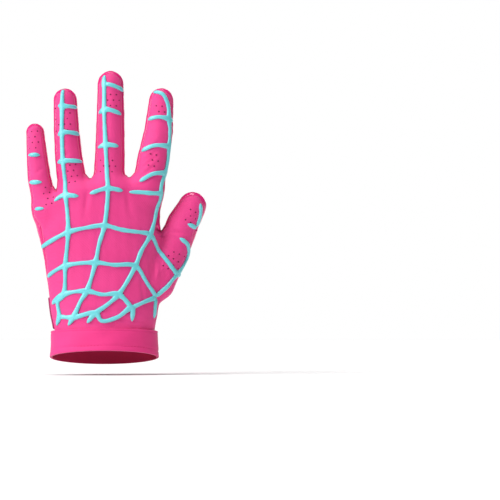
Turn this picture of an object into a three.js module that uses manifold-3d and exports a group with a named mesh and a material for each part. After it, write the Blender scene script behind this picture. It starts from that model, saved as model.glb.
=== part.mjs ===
// Football receiver glove for a left hand, open and upright as a hand holds it. Millimetres.
// +X runs from the little finger to the thumb, +Y from the back of the hand to the palm, +Z to the tips.
// The origin is the middle of the wrist opening, where the hand goes in.
import * as THREE from "three";
import { mergeVertices } from "three/addons/utils/BufferGeometryUtils.js";
import Module from "manifold-3d";

const { lerp, degToRad, smoothstep } = THREE.MathUtils;
const wasm = await Module();
wasm.setup();

// Driving sizes
const PALM_LENGTH = 130; // wrist opening to the root of the middle finger
const PALM_WIDTH = 102; // across the knuckles
const PALM_DEPTH = 34; // back of the hand to the palm
const PALM_CUP = 4.5; // how far the hand's edges bend towards the palm
const WRIST_WIDTH = 77;
const WRIST_DEPTH = 44;
const FINGER_LENGTH = 81; // middle finger, root to the centre of its tip
const FINGER_WIDTH = 22; // middle finger at its second joint
const FINGER_FLATNESS = 0.93; // a finger's depth over its width
const THUMB_FORWARD = 11; // the thumb's tip lies this far on the palm's side
const MOUTH_WIDTH = 78.5; // inside the cuff's rim
const MOUTH_DEPTH = 50;
const CUFF_HEIGHT = 20;
const CUFF_WALL = 2;
const RIM_TILT = 11.5; // the cuff's rim is lower on the palm's side, in degrees
const CUFF_TOP_TILT = 5;
const BACK_WALL = 1.2; // stretch fabric
const PALM_WALL = 1.5; // coated palm sheet
const TUCK = 4; // how far the panels reach down inside the cuff
const GAP = 0.3; // between pieces that touch
const CUFF_FIT = 0.75; // between the band and the panels tucked in it, with room for their facets
const STRAP_HEIGHT = 17;
const STRAP_WALL = 1.4;
const STRAP_ARC = 160; // degrees round the palm's side
const TAB_LENGTH = 27;
const TAB_WALL = 1.3;
const TAB_INSET = 6; // degrees from the strap's end
const TAB_MARGIN = 0.8; // strap that shows above and below the tab
const WRIST_BEND = 0.42 * MOUTH_WIDTH; // the cuff's mean radius under the tab
const NOTCH_LENGTH = 25; // wrist notch in the little finger's seam
const NOTCH_WIDTH = 8;
const BINDING_WIDTH = 2.2;
const BINDING_HEIGHT = 0.8;
const RIB_WIDTH = 3;
const RIB_HEIGHT = 1.5;
const SEAM_TURN = 24; // finger seams lie this far to the back of the finger's side, in degrees
const WRIST_SEAM_TURN = -6; // at the wrist they come round to the side
const WEB_SOFTNESS = 5; // rounding between neighbouring fingers
const KNUCKLE_SOFTNESS = 9;
const THUMB_SOFTNESS = 5.5;
const CROWN_SOFTNESS = 8; // rounding of the palm's form under the fingers

// How finely the shells are faceted
const FINGER_COLUMNS = 4; // facets across one side of a finger, between its seams' neighbours
const ROW_STEP = 8;

// Palm sections: height above the wrist opening, the two edges, depth, how square the section is.
const PALM_SECTIONS = [
  {
    up: -0.1 * PALM_LENGTH,
    ulnar: -0.52 * MOUTH_WIDTH, radial: 0.52 * MOUTH_WIDTH, depth: 1.06 * MOUTH_DEPTH,
    cup: 0, square: 2,
  },
  {
    up: 0,
    ulnar: -0.5 * MOUTH_WIDTH, radial: 0.5 * MOUTH_WIDTH, depth: MOUTH_DEPTH,
    cup: 0, square: 2,
  },
  {
    up: 0.16 * PALM_LENGTH,
    ulnar: -0.5 * WRIST_WIDTH, radial: 0.5 * WRIST_WIDTH, depth: WRIST_DEPTH,
    cup: 0, square: 2.1,
  },
  {
    up: 0.26 * PALM_LENGTH,
    ulnar: -0.53 * WRIST_WIDTH, radial: 0.53 * WRIST_WIDTH, depth: 0.97 * WRIST_DEPTH,
    cup: 0.3, square: 2.2,
  },
  {
    up: 0.42 * PALM_LENGTH,
    ulnar: -0.425 * PALM_WIDTH, radial: 0.42 * PALM_WIDTH, depth: 1.14 * PALM_DEPTH,
    cup: 0.6, square: 2.3,
  },
  {
    up: 0.6 * PALM_LENGTH,
    ulnar: -0.46 * PALM_WIDTH, radial: 0.42 * PALM_WIDTH, depth: 1.04 * PALM_DEPTH,
    cup: 1, square: 2.4,
  },
  {
    up: 0.75 * PALM_LENGTH,
    ulnar: -0.507 * PALM_WIDTH, radial: 0.42 * PALM_WIDTH, depth: PALM_DEPTH,
    cup: 1, square: 2.4,
  },
  {
    up: 0.88 * PALM_LENGTH,
    ulnar: -0.528 * PALM_WIDTH, radial: 0.42 * PALM_WIDTH, depth: 0.9 * PALM_DEPTH,
    cup: 1, square: 2.3,
  },
  {
    up: 1.0 * PALM_LENGTH,
    ulnar: -0.545 * PALM_WIDTH, radial: 0.425 * PALM_WIDTH, depth: 0.78 * PALM_DEPTH,
    cup: 1, square: 2.2,
  },
  {
    up: 1.08 * PALM_LENGTH,
    ulnar: -0.545 * PALM_WIDTH, radial: 0.43 * PALM_WIDTH, depth: 0.62 * PALM_DEPTH,
    cup: 1, square: 2.2,
  },
];

// Fingers: where each is rooted in the palm, and its three bones' lengths, leans (towards the thumb) and
// bends (towards the palm), with its width at the root, the two joints and the tip.
const FINGERS = {
  little: {
    across: -0.44, up: 0.874,
    bones: [0.311, 0.22, 0.217],
    lean: [-12.4, -6.1, -5],
    bend: [2, 6, 9],
    width: [0.86, 0.8, 0.71, 0.62],
  },
  ring: {
    across: -0.236, up: 0.992,
    bones: [0.306, 0.268, 0.292],
    lean: [-8.1, -5, -2.7],
    bend: [2, 4, 7],
    width: [1.06, 0.95, 0.87, 0.8],
  },
  middle: {
    across: 0.031, up: 1.003,
    bones: [0.362, 0.332, 0.31],
    lean: [1.6, 0.9, 0],
    bend: [2, 4, 7],
    width: [1.1, 1.02, 0.96, 0.89],
  },
  index: {
    across: 0.322, up: 0.992,
    bones: [0.309, 0.272, 0.295],
    lean: [10.6, 11, 4.8],
    bend: [2, 4, 7],
    width: [1.08, 1.1, 0.99, 0.84],
  },
};
const THUMB = {
  across: 0.377, up: 0.454,
  bones: [0.321, 0.285, 0.209],
  lean: [31.5, 20.6, 28.2],
  width: [1.5, 1.16, 1.14, 0.96],
  forward: [0.45, 0.8, 0.95, 1],
};
const FINGER_NAMES = Object.keys(FINGERS);

// Folds in the worn fabric: side of the glove, both ends (across in palm widths, up in palm lengths), width
// in palm widths and depth in palm depths.
const FOLDS = [
  { side: "palm", from: [0.36, 0.82], to: [0.02, 0.34], width: 0.07, depth: 0.047 },
  { side: "palm", from: [0.4, 0.8], to: [-0.3, 0.72], width: 0.06, depth: 0.035 },
  { side: "palm", from: [0.1, 0.9], to: [-0.5, 0.84], width: 0.06, depth: 0.032 },
  { side: "back", from: [0.41, 0.66], to: [0.32, 0.34], width: 0.05, depth: 0.03 },
  { side: "back", from: [0.48, 0.56], to: [0.39, 0.36], width: 0.05, depth: 0.026 },
];

// Ribs: each strand runs through its stops in order. A stop on the hand is [across, up] in half palm widths
// and palm lengths; a stop on a finger is [along, aside], along from 0 at its root to 1 at its tip's centre,
// and aside from -1 to 1 across its outline.
const RIBS = {
  web_ribs: [
    {
      on: "ring",
      stops: [[1.11, -0.11], [0.92, -0.28], [0.62, -0.37], [0.31, -0.45], [0.05, -0.47]],
      then: [
        [-0.58, 0.948], [-0.54, 0.755], [-0.58, 0.549], [-0.61, 0.369], [-0.69, 0.331],
        [-0.67, 0.241], [-0.71, 0.185],
      ],
    },
    { on: "ring", stops: [[0.93, -0.67], [0.92, -0.1], [0.9, 0.95]] },
    { on: "ring", stops: [[0.6, -0.73], [0.63, -0.3], [0.59, 0.95]] },
    { on: "ring", stops: [[0.31, -0.86], [0.32, -0.37], [0.28, 0.9]] },
    { stops: [[-0.76, 0.916], [-0.64, 0.948], [-0.38, 0.948]] },
    {
      on: "middle",
      stops: [[1.1, -0.58], [0.9, -0.47], [0.69, -0.44], [0.4, -0.3], [0.1, -0.13]],
      then: [
        [0.05, 0.986], [0, 0.774], [-0.08, 0.665], [-0.13, 0.562], [-0.26, 0.389],
        [-0.35, 0.331], [-0.46, 0.235], [-0.54, 0.185],
      ],
    },
    { on: "middle", stops: [[0.99, -0.5], [0.97, 0.2], [0.92, 0.95]] },
    { on: "middle", stops: [[0.7, -0.86], [0.74, -0.37], [0.69, 0.78]] },
    { on: "middle", stops: [[0.37, -0.83], [0.4, -0.3], [0.39, 0.61]] },
    { stops: [[-0.23, 0.961], [0.03, 0.993], [0.28, 0.98]] },
    {
      on: "index",
      stops: [
        [1.08, -0.81], [1.05, 0.11], [0.93, 0.56], [0.79, 0.66],
        [0.52, 0.84], [0.24, 0.9], [0.06, 0.8],
      ],
      then: [
        [0.82, 0.92], [0.69, 0.729], [0.55, 0.626], [0.46, 0.537], [0.21, 0.369],
        [0.03, 0.305], [-0.13, 0.26], [-0.26, 0.2],
      ],
    },
    { on: "index", stops: [[0.76, -0.87], [0.8, -0.08], [0.77, 0.95]] },
    { on: "index", stops: [[0.39, -0.83], [0.47, -0.22], [0.51, 0.95]] },
    { on: "index", stops: [[0.06, -0.62], [0.17, 0.12], [0.22, 0.92]] },
    { stops: [[0.36, 0.973], [0.88, 0.973]] },
    { stops: [[-0.94, 0.646], [-0.54, 0.735], [-0.26, 0.761], [0, 0.774], [0.26, 0.749], [0.69, 0.729]] },
    { stops: [[0.69, 0.729], [0.85, 0.614], [1.05, 0.511], [1.17, 0.478]] },
    {
      stops: [
        [-0.85, 0.472], [-0.59, 0.537], [-0.13, 0.556], [0.13, 0.543], [0.46, 0.537],
        [0.62, 0.447], [0.77, 0.357],
      ],
    },
    {
      stops: [
        [-0.78, 0.312], [-0.61, 0.369], [-0.26, 0.389], [-0.04, 0.369], [0.21, 0.369],
        [0.41, 0.292],
      ],
    },
    { stops: [[0.41, 0.292], [0.59, 0.325], [0.78, 0.357]] },
    {
      stops: [
        [-0.67, 0.241], [-0.46, 0.235], [-0.13, 0.26], [-0.04, 0.215], [0.19, 0.235],
        [0.41, 0.292], [0.41, 0.209],
      ],
    },
    { stops: [[0.77, 0.357], [0.74, 0.228]] },
    {
      on: "thumb",
      stops: [[0.58, 0.1], [0.53, 0.75], [0.4, 0.97], [0.27, 0.9], [0.13, 0.75]],
      then: [[0.77, 0.357]],
    },
  ],
  thumb_rib: [
    { on: "thumb", stops: [[1.06, 0.38], [0.94, 0.75], [0.79, 0.85]] },
    { on: "thumb", stops: [[0.77, 0.24], [0.78, 0.88]] },
  ],
  little_bar_1: [{ on: "little", stops: [[0.71, -0.85], [0.69, 0.34]] }],
  little_bar_2: [{ on: "little", stops: [[0.38, -0.9], [0.34, 0.17]] }],
  little_bar_3: [{ on: "little", stops: [[0.03, -0.9], [0.01, -0.1]] }],
};

const COLOURS = {
  fabric: { color: 0xf23f92, roughness: 0.75, metalness: 0 },
  coating: { color: 0xf0158a, roughness: 0.28, metalness: 0 },
  ribbing: { color: 0x6fdfe2, roughness: 0.4, metalness: 0 },
  strap: { color: 0x2fbfc3, roughness: 0.5, metalness: 0 },
};

// Table reading

// A column of a table at some height, as a smooth curve through its rows.
function columnAt(rows, key, up) {
  const last = rows.length - 1;
  let i = 0;
  while (i < last - 1 && up > rows[i + 1].up) i += 1;
  const span = rows[i + 1].up - rows[i].up;
  const t = Math.min(Math.max((up - rows[i].up) / span, 0), 1);
  const slope = (j) => {
    const before = rows[Math.max(j - 1, 0)];
    const after = rows[Math.min(j + 1, last)];
    return ((after[key] - before[key]) / (after.up - before.up)) * span;
  };
  const t2 = t * t;
  const t3 = t2 * t;
  return (
    (2 * t3 - 3 * t2 + 1) * rows[i][key] +
    (t3 - 2 * t2 + t) * slope(i) +
    (3 * t2 - 2 * t3) * rows[i + 1][key] +
    (t3 - t2) * slope(i + 1)
  );
}

function chainOf(row, bends) {
  const joints = [new THREE.Vector3(row.across * PALM_WIDTH, 0, row.up * PALM_LENGTH)];
  row.bones.forEach((share, i) => {
    const lean = degToRad(row.lean[i]);
    const step = new THREE.Vector3(Math.sin(lean), Math.sin(degToRad(bends[i])), Math.cos(lean));
    joints.push(joints[i].clone().addScaledVector(step, share * FINGER_LENGTH));
  });
  return { joints, radii: row.width.map((share) => (share * FINGER_WIDTH) / 2) };
}

const CHAINS = {};
for (const name of FINGER_NAMES) CHAINS[name] = chainOf(FINGERS[name], FINGERS[name].bend);
CHAINS.thumb = chainOf(THUMB, [0, 0, 0]);
CHAINS.thumb.joints.forEach((joint, i) => {
  joint.y = THUMB_FORWARD * THUMB.forward[i];
});

// A chain's centre line and radius at a share of its length; past either end it goes straight on.
function alongChain({ joints, radii }, share) {
  const lengths = joints.slice(1).map((joint, i) => joint.distanceTo(joints[i]));
  const total = lengths.reduce((sum, length) => sum + length, 0);
  let rest = share * total;
  let i = 0;
  while (i < lengths.length - 1 && rest > lengths[i]) {
    rest -= lengths[i];
    i += 1;
  }
  const t = rest / lengths[i];
  const held = Math.min(Math.max(t, 0), 1);
  return {
    centre: joints[i].clone().lerp(joints[i + 1], t),
    radius: lerp(radii[i], radii[i + 1], held),
    axis: joints[i + 1].clone().sub(joints[i]).normalize(),
    total,
  };
}

// The form of the worn hand, as a distance that is negative inside

function smoothMin(a, b, softness) {
  const h = Math.max(softness - Math.abs(a - b), 0) / softness;
  return Math.min(a, b) - (h * h * softness) / 4;
}

function smoothMax(a, b, softness) {
  return -smoothMin(-a, -b, softness);
}

function chainDistance(p, { joints, radii }) {
  let nearest = Infinity;
  for (let i = 0; i + 1 < joints.length; i += 1) {
    const a = joints[i];
    const b = joints[i + 1];
    const [dx, dy, dz] = [b.x - a.x, b.y - a.y, b.z - a.z];
    const ahead = (p.x - a.x) * dx + (p.y - a.y) * dy + (p.z - a.z) * dz;
    const along = ahead / (dx * dx + dy * dy + dz * dz);
    const t = Math.min(Math.max(along, 0), 1);
    const away = Math.hypot(p.x - a.x - t * dx, (p.y - a.y - t * dy) / FINGER_FLATNESS, p.z - a.z - t * dz);
    nearest = Math.min(nearest, away - lerp(radii[i], radii[i + 1], t));
  }
  return nearest;
}

// Where the palm's own form ends below the fingers, following their roots across the hand.
const CROWN_ROWS = [
  { up: -0.47 * PALM_WIDTH, height: 0.89 * PALM_LENGTH },
  { up: -0.357 * PALM_WIDTH, height: 0.955 * PALM_LENGTH },
  { up: -0.112 * PALM_WIDTH, height: 1.035 * PALM_LENGTH },
  { up: 0.19 * PALM_WIDTH, height: 1.05 * PALM_LENGTH },
  { up: 0.38 * PALM_WIDTH, height: 1.01 * PALM_LENGTH },
];

function handMiddle(x, z) {
  const ulnar = columnAt(PALM_SECTIONS, "ulnar", z);
  const radial = columnAt(PALM_SECTIONS, "radial", z);
  const u = (2 * x - ulnar - radial) / (radial - ulnar);
  return PALM_CUP * columnAt(PALM_SECTIONS, "cup", z) * (u * u - 0.4);
}

function palmDistance(p) {
  const ulnar = columnAt(PALM_SECTIONS, "ulnar", p.z);
  const radial = columnAt(PALM_SECTIONS, "radial", p.z);
  const square = columnAt(PALM_SECTIONS, "square", p.z);
  const halfWidth = (radial - ulnar) / 2;
  const halfDepth = columnAt(PALM_SECTIONS, "depth", p.z) / 2;
  const u = Math.abs(p.x - (ulnar + radial) / 2) / halfWidth;
  const v = Math.abs(p.y - handMiddle(p.x, p.z)) / halfDepth;
  const reach = Math.max((u ** square + v ** square) ** (1 / square), 1e-3);
  const lean = square - 1;
  const steepness = Math.hypot((u / reach) ** lean / halfWidth, (v / reach) ** lean / halfDepth);
  const crown = p.z - columnAt(CROWN_ROWS, "height", p.x);
  return smoothMax((reach - 1) / steepness, crown, CROWN_SOFTNESS);
}

function foldDepth(p) {
  let depth = 0;
  for (const fold of FOLDS) {
    const onSide = fold.side === "palm" ? p.y > 0 : p.y < 0;
    if (!onSide) continue;
    const [ax, az] = [fold.from[0] * PALM_WIDTH, fold.from[1] * PALM_LENGTH];
    const [bx, bz] = [fold.to[0] * PALM_WIDTH, fold.to[1] * PALM_LENGTH];
    const run = (bx - ax) ** 2 + (bz - az) ** 2;
    const t = Math.min(Math.max(((p.x - ax) * (bx - ax) + (p.z - az) * (bz - az)) / run, 0), 1);
    const away = Math.hypot(p.x - lerp(ax, bx, t), p.z - lerp(az, bz, t));
    const fade = Math.sin(Math.PI * Math.min(Math.max(t, 0.08), 0.92));
    depth += PALM_DEPTH * fold.depth * fade * (1 - smoothstep(away, 0, fold.width * PALM_WIDTH));
  }
  return depth;
}

function formDistance(p) {
  let fingers = Infinity;
  for (const name of FINGER_NAMES) {
    const one = chainDistance(p, CHAINS[name]);
    fingers = fingers === Infinity ? one : smoothMin(fingers, one, WEB_SOFTNESS);
  }
  const hand = smoothMin(palmDistance(p), fingers, KNUCKLE_SOFTNESS);
  return smoothMin(hand, chainDistance(p, CHAINS.thumb), THUMB_SOFTNESS) + foldDepth(p);
}

function outwardAt(p) {
  const h = 0.4;
  const d = (x, y, z) => formDistance(new THREE.Vector3(p.x + x, p.y + y, p.z + z));
  const slope = [d(h, 0, 0) - d(-h, 0, 0), d(0, h, 0) - d(0, -h, 0), d(0, 0, h) - d(0, 0, -h)];
  return new THREE.Vector3(...slope).normalize();
}

// The point where a ray from inside the form crosses the surface that lies a given level outside it.
function castOut(origin, direction, level = 0) {
  const step = 1.5;
  const at = (t) => origin.clone().addScaledVector(direction, t);
  let far = step;
  while (formDistance(at(far)) < level && far < PALM_LENGTH) far += step;
  let near = far - step;
  for (let i = 0; i < 18; i += 1) {
    const middle = (near + far) / 2;
    if (formDistance(at(middle)) < level) near = middle;
    else far = middle;
  }
  return at((near + far) / 2);
}

// The mesh of the shells

const HAND_BOTTOM = CUFF_HEIGHT - TUCK;
const SEAM = degToRad(SEAM_TURN);

function tiltAt(z) {
  const share = z / CUFF_HEIGHT;
  const tilt = share < 1 ? lerp(RIM_TILT, CUFF_TOP_TILT, share) : CUFF_TOP_TILT * Math.max(2 - share, 0);
  return degToRad(tilt);
}

// A direction at an angle round the hand: 0 points to the thumb, a quarter turn to the back.
function directionAt(angle, tilt = 0) {
  const y = -Math.sin(angle);
  return new THREE.Vector3(Math.cos(angle), y * Math.cos(tilt), -y * Math.sin(tilt));
}

// Angles of the columns between two seams, on the back and on the palm's side.
function columnAngle(side, share, turn = SEAM) {
  const end = side === "back" ? turn : 2 * Math.PI + turn;
  return lerp(Math.PI - turn, end, share);
}

function seamTurnAt(z) {
  return lerp(degToRad(WRIST_SEAM_TURN), SEAM, smoothstep(z, 0.3 * PALM_LENGTH, 0.85 * PALM_LENGTH));
}

function chainAtHeight(chain, z) {
  const { joints, radii } = chain;
  let i = 0;
  while (i < joints.length - 2 && z > joints[i + 1].z) i += 1;
  const t = (z - joints[i].z) / (joints[i + 1].z - joints[i].z);
  return {
    centre: joints[i].clone().lerp(joints[i + 1], t),
    radius: lerp(radii[i], radii[i + 1], Math.min(Math.max(t, 0), 1)),
  };
}

const SEAM_LIFT = -0.35; // the webs' seams lie to the back, as a share of a finger's radius

// The lowest point of the crotch between two neighbours, found by coming down the middle of their gap.
function crotchBetween(leftEdge, rightEdge, y, top) {
  let z = top;
  const at = () => new THREE.Vector3((leftEdge(z) + rightEdge(z)) / 2, y, z);
  while (formDistance(at()) > 0 && z > HAND_BOTTOM) z -= 0.25;
  return at();
}

const FINGER_WEBS = FINGER_NAMES.slice(1).map((name, i) => {
  const left = CHAINS[FINGER_NAMES[i]];
  const right = CHAINS[name];
  const edge = (chain, sign) => (z) => {
    const { centre, radius } = chainAtHeight(chain, z);
    return centre.x + sign * radius;
  };
  const top = Math.min(left.joints[2].z, right.joints[2].z);
  return crotchBetween(edge(left, 1), edge(right, -1), (SEAM_LIFT * FINGER_WIDTH) / 2, top);
});
const THUMB_WEB = crotchBetween(
  (z) => columnAt(PALM_SECTIONS, "radial", z),
  (z) => {
    const { centre, radius } = chainAtHeight(CHAINS.thumb, z);
    return centre.x - radius / Math.cos(degToRad(THUMB.lean[1]));
  },
  THUMB_FORWARD * 0.4,
  CHAINS.thumb.joints[2].z,
);

const WEB_DROP = 4.5; // the webs' ends on the back and palm lie this far below their crotches
const K = FINGER_COLUMNS;
const HALF = K / 2;
const WEBS = [...FINGER_WEBS, THUMB_WEB];
const CROTCH_LEVEL = THUMB_WEB.z - WEB_DROP;
const ROWS_BELOW = Math.round((CROTCH_LEVEL - HAND_BOTTOM) / ROW_STEP);
const ROWS_ABOVE = Math.round((WEBS[1].z - WEB_DROP - CROTCH_LEVEL) / ROW_STEP);

// A patchwork of named points, each found once, and the faces between them for each panel.
const points = new Map();
const faces = { back: [], palm: [] };

function pointAt(key, find) {
  if (!points.has(key)) points.set(key, find());
  return key;
}

// The lowest point of a crotch: 0 to 2 between the fingers, 3 at the thumb.
function webPoint(index) {
  return pointAt(`web ${index}`, () => WEBS[index]);
}

function quad(side, a, b, c, d) {
  const face = side === "back" ? [a, b, c, d] : [d, c, b, a];
  const distinct = face.filter((key, i) => key !== face[(i + 1) % 4]);
  if (distinct.length > 2) faces[side].push(distinct);
}

// The hand's columns run 0 to 4K for the fingers and on to 5K for the thumb. Below the thumb's crotch all
// share a row; above it the fingers' own columns end in a seam column of their own.
function crownHeight(column) {
  const span = column / K;
  const webs = FINGER_WEBS.map((web) => web.z - WEB_DROP);
  const stops = [CHAINS.little.joints[0].z - WEB_DROP, ...webs, CHAINS.index.joints[0].z];
  const i = Math.min(Math.floor(span), 3);
  return lerp(stops[i], stops[i + 1], span - i);
}

function rowPlace(column, row) {
  const below = row <= ROWS_BELOW;
  const columns = below ? 5 * K : 4 * K;
  if (below) return { columns, climb: 0, z: lerp(HAND_BOTTOM, CROTCH_LEVEL, row / ROWS_BELOW) };
  const climb = (row - ROWS_BELOW) / ROWS_ABOVE;
  const crown = crownHeight(Math.min(Math.max(column, 0), columns));
  return { columns, climb, z: lerp(CROTCH_LEVEL, crown, climb) };
}

// Where the flat middle of the hand ends on each side at a height, and where the thumb's centre is.
function handEnds(z, climb) {
  const halfDepth = columnAt(PALM_SECTIONS, "depth", z) / 2;
  const ulnarEdge = columnAt(PALM_SECTIONS, "ulnar", z) + halfDepth;
  const radialEdge = columnAt(PALM_SECTIONS, "radial", z) - halfDepth;
  const thumb = chainAtHeight(CHAINS.thumb, z).centre;
  return {
    ulnarEnd: lerp(ulnarEdge, CHAINS.little.joints[0].x, climb),
    handEnd: lerp(radialEdge, CHAINS.index.joints[0].x, climb),
    thumbEnd: Math.max(thumb.x, radialEdge),
    thumb,
  };
}

const shareBetween = (x, from, to) => (x - from) / (to - from);
const FINGER_WEB_SHARES = FINGER_WEBS.map((web) =>
  shareBetween(web.x, CHAINS.little.joints[0].x, CHAINS.index.joints[0].x),
);
const CROTCH_ENDS = handEnds(CROTCH_LEVEL, 0);
const THUMB_WEB_SHARE = shareBetween(THUMB_WEB.x, CROTCH_ENDS.handEnd, CROTCH_ENDS.thumbEnd);

function handRay(side, column, { columns, climb, z }) {
  const below = columns === 5 * K;
  const { ulnarEnd, handEnd, thumbEnd, thumb } = handEnds(z, climb);
  const webs = FINGER_WEB_SHARES.map((share) => lerp(ulnarEnd, handEnd, share));
  const thumbStops = [lerp(handEnd, thumbEnd, THUMB_WEB_SHARE), thumbEnd];
  const stops = [ulnarEnd, ...webs, ...(below ? thumbStops : [handEnd])];

  // In the palm's upper part the columns are spread along its middle, with a fan round each end.
  const fromLeft = Math.min(Math.max(column, HALF), columns - HALF);
  const spans = stops.length - 1;
  let x = lerp(stops[0], stops[1], Math.min((fromLeft - HALF) / HALF, 1));
  for (let i = 1; i < spans; i += 1) {
    const width = i === spans - 1 ? HALF : K;
    if (fromLeft > i * K) x = lerp(stops[i], stops[i + 1], Math.min((fromLeft - i * K) / width, 1));
  }
  const turn = seamTurnAt(z);
  let angle = side === "back" ? Math.PI / 2 : 1.5 * Math.PI;
  if (column < HALF) angle = columnAngle(side, (column + 1) / (K + 2), turn);
  if (column > columns - HALF) angle = columnAngle(side, 1 - (columns - column + 1) / (K + 2), turn);

  // At the wrist they are spread evenly round the opening.
  const spread = smoothstep(z, HAND_BOTTOM, 0.5 * PALM_LENGTH);
  const wristAngle = columnAngle(side, (column + 1) / (columns + 2), turn);
  const wristX = 0.3 * WRIST_WIDTH * Math.cos(wristAngle);
  const origin = new THREE.Vector3(lerp(wristX, x, spread), 0, z);
  const toThumb = below ? Math.min(Math.max((column - 4 * K) / HALF, 0), 1) : 0;
  origin.y = spread * lerp(handMiddle(Math.min(origin.x, handEnd), z), thumb.y, toThumb);
  return { origin, angle: lerp(wristAngle, angle, spread), tilt: tiltAt(z) };
}

// The little finger's seam opens in a notch above the cuff, wide at the bottom.
function notchHalfAngle(z) {
  const share = (CUFF_HEIGHT + NOTCH_LENGTH - z) / NOTCH_LENGTH;
  return share > 0 ? (NOTCH_WIDTH / WRIST_DEPTH) * Math.min(share, 1) ** 0.8 : 0;
}

function handPoint(side, column, row) {
  const place = rowPlace(column, row);
  const seam = column < 0 || column > place.columns;
  const { origin, angle, tilt } = handRay(seam ? "back" : side, column, place);
  const notch = column < 0 ? notchHalfAngle(origin.z) : 0;
  const key = `hand ${seam && notch === 0 ? "seam" : side} ${column} ${row}`;
  const opened = side === "back" ? angle - notch : angle + notch;
  return pointAt(key, () => castOut(origin, directionAt(opened, tilt)));
}

function addHand(side) {
  for (let row = 0; row < ROWS_BELOW + ROWS_ABOVE; row += 1) {
    const columns = row < ROWS_BELOW ? 5 * K : 4 * K;
    for (let column = -1; column <= columns; column += 1) {
      // The first row above the thumb's crotch has the crotch itself as its seam point.
      const corner = (c, r) => {
        if (row >= ROWS_BELOW && r === ROWS_BELOW && c > columns) return webPoint(3);
        return handPoint(side, c, r);
      };
      const upper = [corner(column + 1, row + 1), corner(column, row + 1)];
      quad(side, corner(column, row), corner(column + 1, row), ...upper);
    }
  }
}

// Fingers: the first loop is made of the hand's own points and the crotches, the next ones stand square to
// the finger, and a pole tilted to the back closes the tip.
const POLE_TILT = degToRad(35);
const FIRST_LOOP = 2.8; // the first square loop stands this far above the higher crotch

// The direction that lies an angle from one direction towards another that is square to it.
function turned(from, to, angle) {
  return from.clone().multiplyScalar(Math.cos(angle)).addScaledVector(to, Math.sin(angle));
}

const CAP_ROWS = 4;

function fingerLoops(name, index) {
  const chain = CHAINS[name];
  const isThumb = name === "thumb";
  const leftWeb = isThumb ? 3 : index - 1;
  const rightWeb = isThumb ? -1 : index < 3 ? index : -1;
  const webHeights = [leftWeb, rightWeb].filter((web) => web >= 0).map((web) => WEBS[web].z);
  const start = Math.max(...webHeights) + FIRST_LOOP;
  const top = chain.joints[3];
  const total = alongChain(chain, 0).total;
  const lowest = chainAtHeight(chain, start).centre;
  const firstShare = 1 - lowest.distanceTo(top) / total;
  const rows = Math.max(Math.round(((1 - firstShare) * total) / ROW_STEP), 2);

  const baseColumn = isThumb ? 4 * K : index * K;
  const baseRow = isThumb ? ROWS_BELOW : ROWS_BELOW + ROWS_ABOVE;
  const base = (side, column) => {
    if (column < 0 && leftWeb >= 0) return webPoint(leftWeb);
    if (column > K && rightWeb >= 0) return webPoint(rightWeb);
    return handPoint(side, baseColumn + column, baseRow);
  };

  const across = (axis) => new THREE.Vector3(0, 1, 0).cross(axis).normalize();
  const tube = (side, column, row) => {
    const seam = column < 0 || column > K;
    const key = `${name} ${seam ? "seam" : side} ${column} ${row}`;
    const angle = columnAngle(seam ? "back" : side, (column + 1) / (K + 2));
    return pointAt(key, () => {
      const { centre, axis } = alongChain(chain, lerp(firstShare, 1, Math.min(row / rows, 1)));
      const right = across(axis);
      const back = right.clone().cross(axis).negate();
      const flat = turned(right, back.clone().negate(), angle);
      if (row <= rows) return castOut(centre, flat);
      const pole = turned(axis, back.negate(), POLE_TILT);
      const rise = ((row - rows) / CAP_ROWS) * (Math.PI / 2);
      return castOut(centre, turned(flat, pole, rise).normalize());
    });
  };
  const tip = (side) => {
    const key = `${name} tip`;
    tube(side, 0, rows + CAP_ROWS);
    if (!points.has(key)) points.set(key, points.get(`${name} ${side} 0 ${rows + CAP_ROWS}`));
    return key;
  };
  return { rows, base, tube, tip };
}

function addFinger(side, name, index) {
  const { rows, base, tube, tip } = fingerLoops(name, index);
  for (let column = -1; column <= K; column += 1) {
    const first = [tube(side, column + 1, 0), tube(side, column, 0)];
    quad(side, base(side, column), base(side, column + 1), ...first);
    for (let row = 0; row < rows + CAP_ROWS; row += 1) {
      const last = row + 1 === rows + CAP_ROWS;
      const upper = (c) => (last ? tip(side) : tube(side, c, row + 1));
      const lower = [tube(side, column, row), tube(side, column + 1, row)];
      quad(side, ...lower, upper(column + 1), upper(column));
    }
  }
}

for (const side of ["back", "palm"]) {
  addHand(side);
  FINGER_NAMES.forEach((name, index) => addFinger(side, name, index));
  addFinger(side, "thumb", 4);
}

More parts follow.
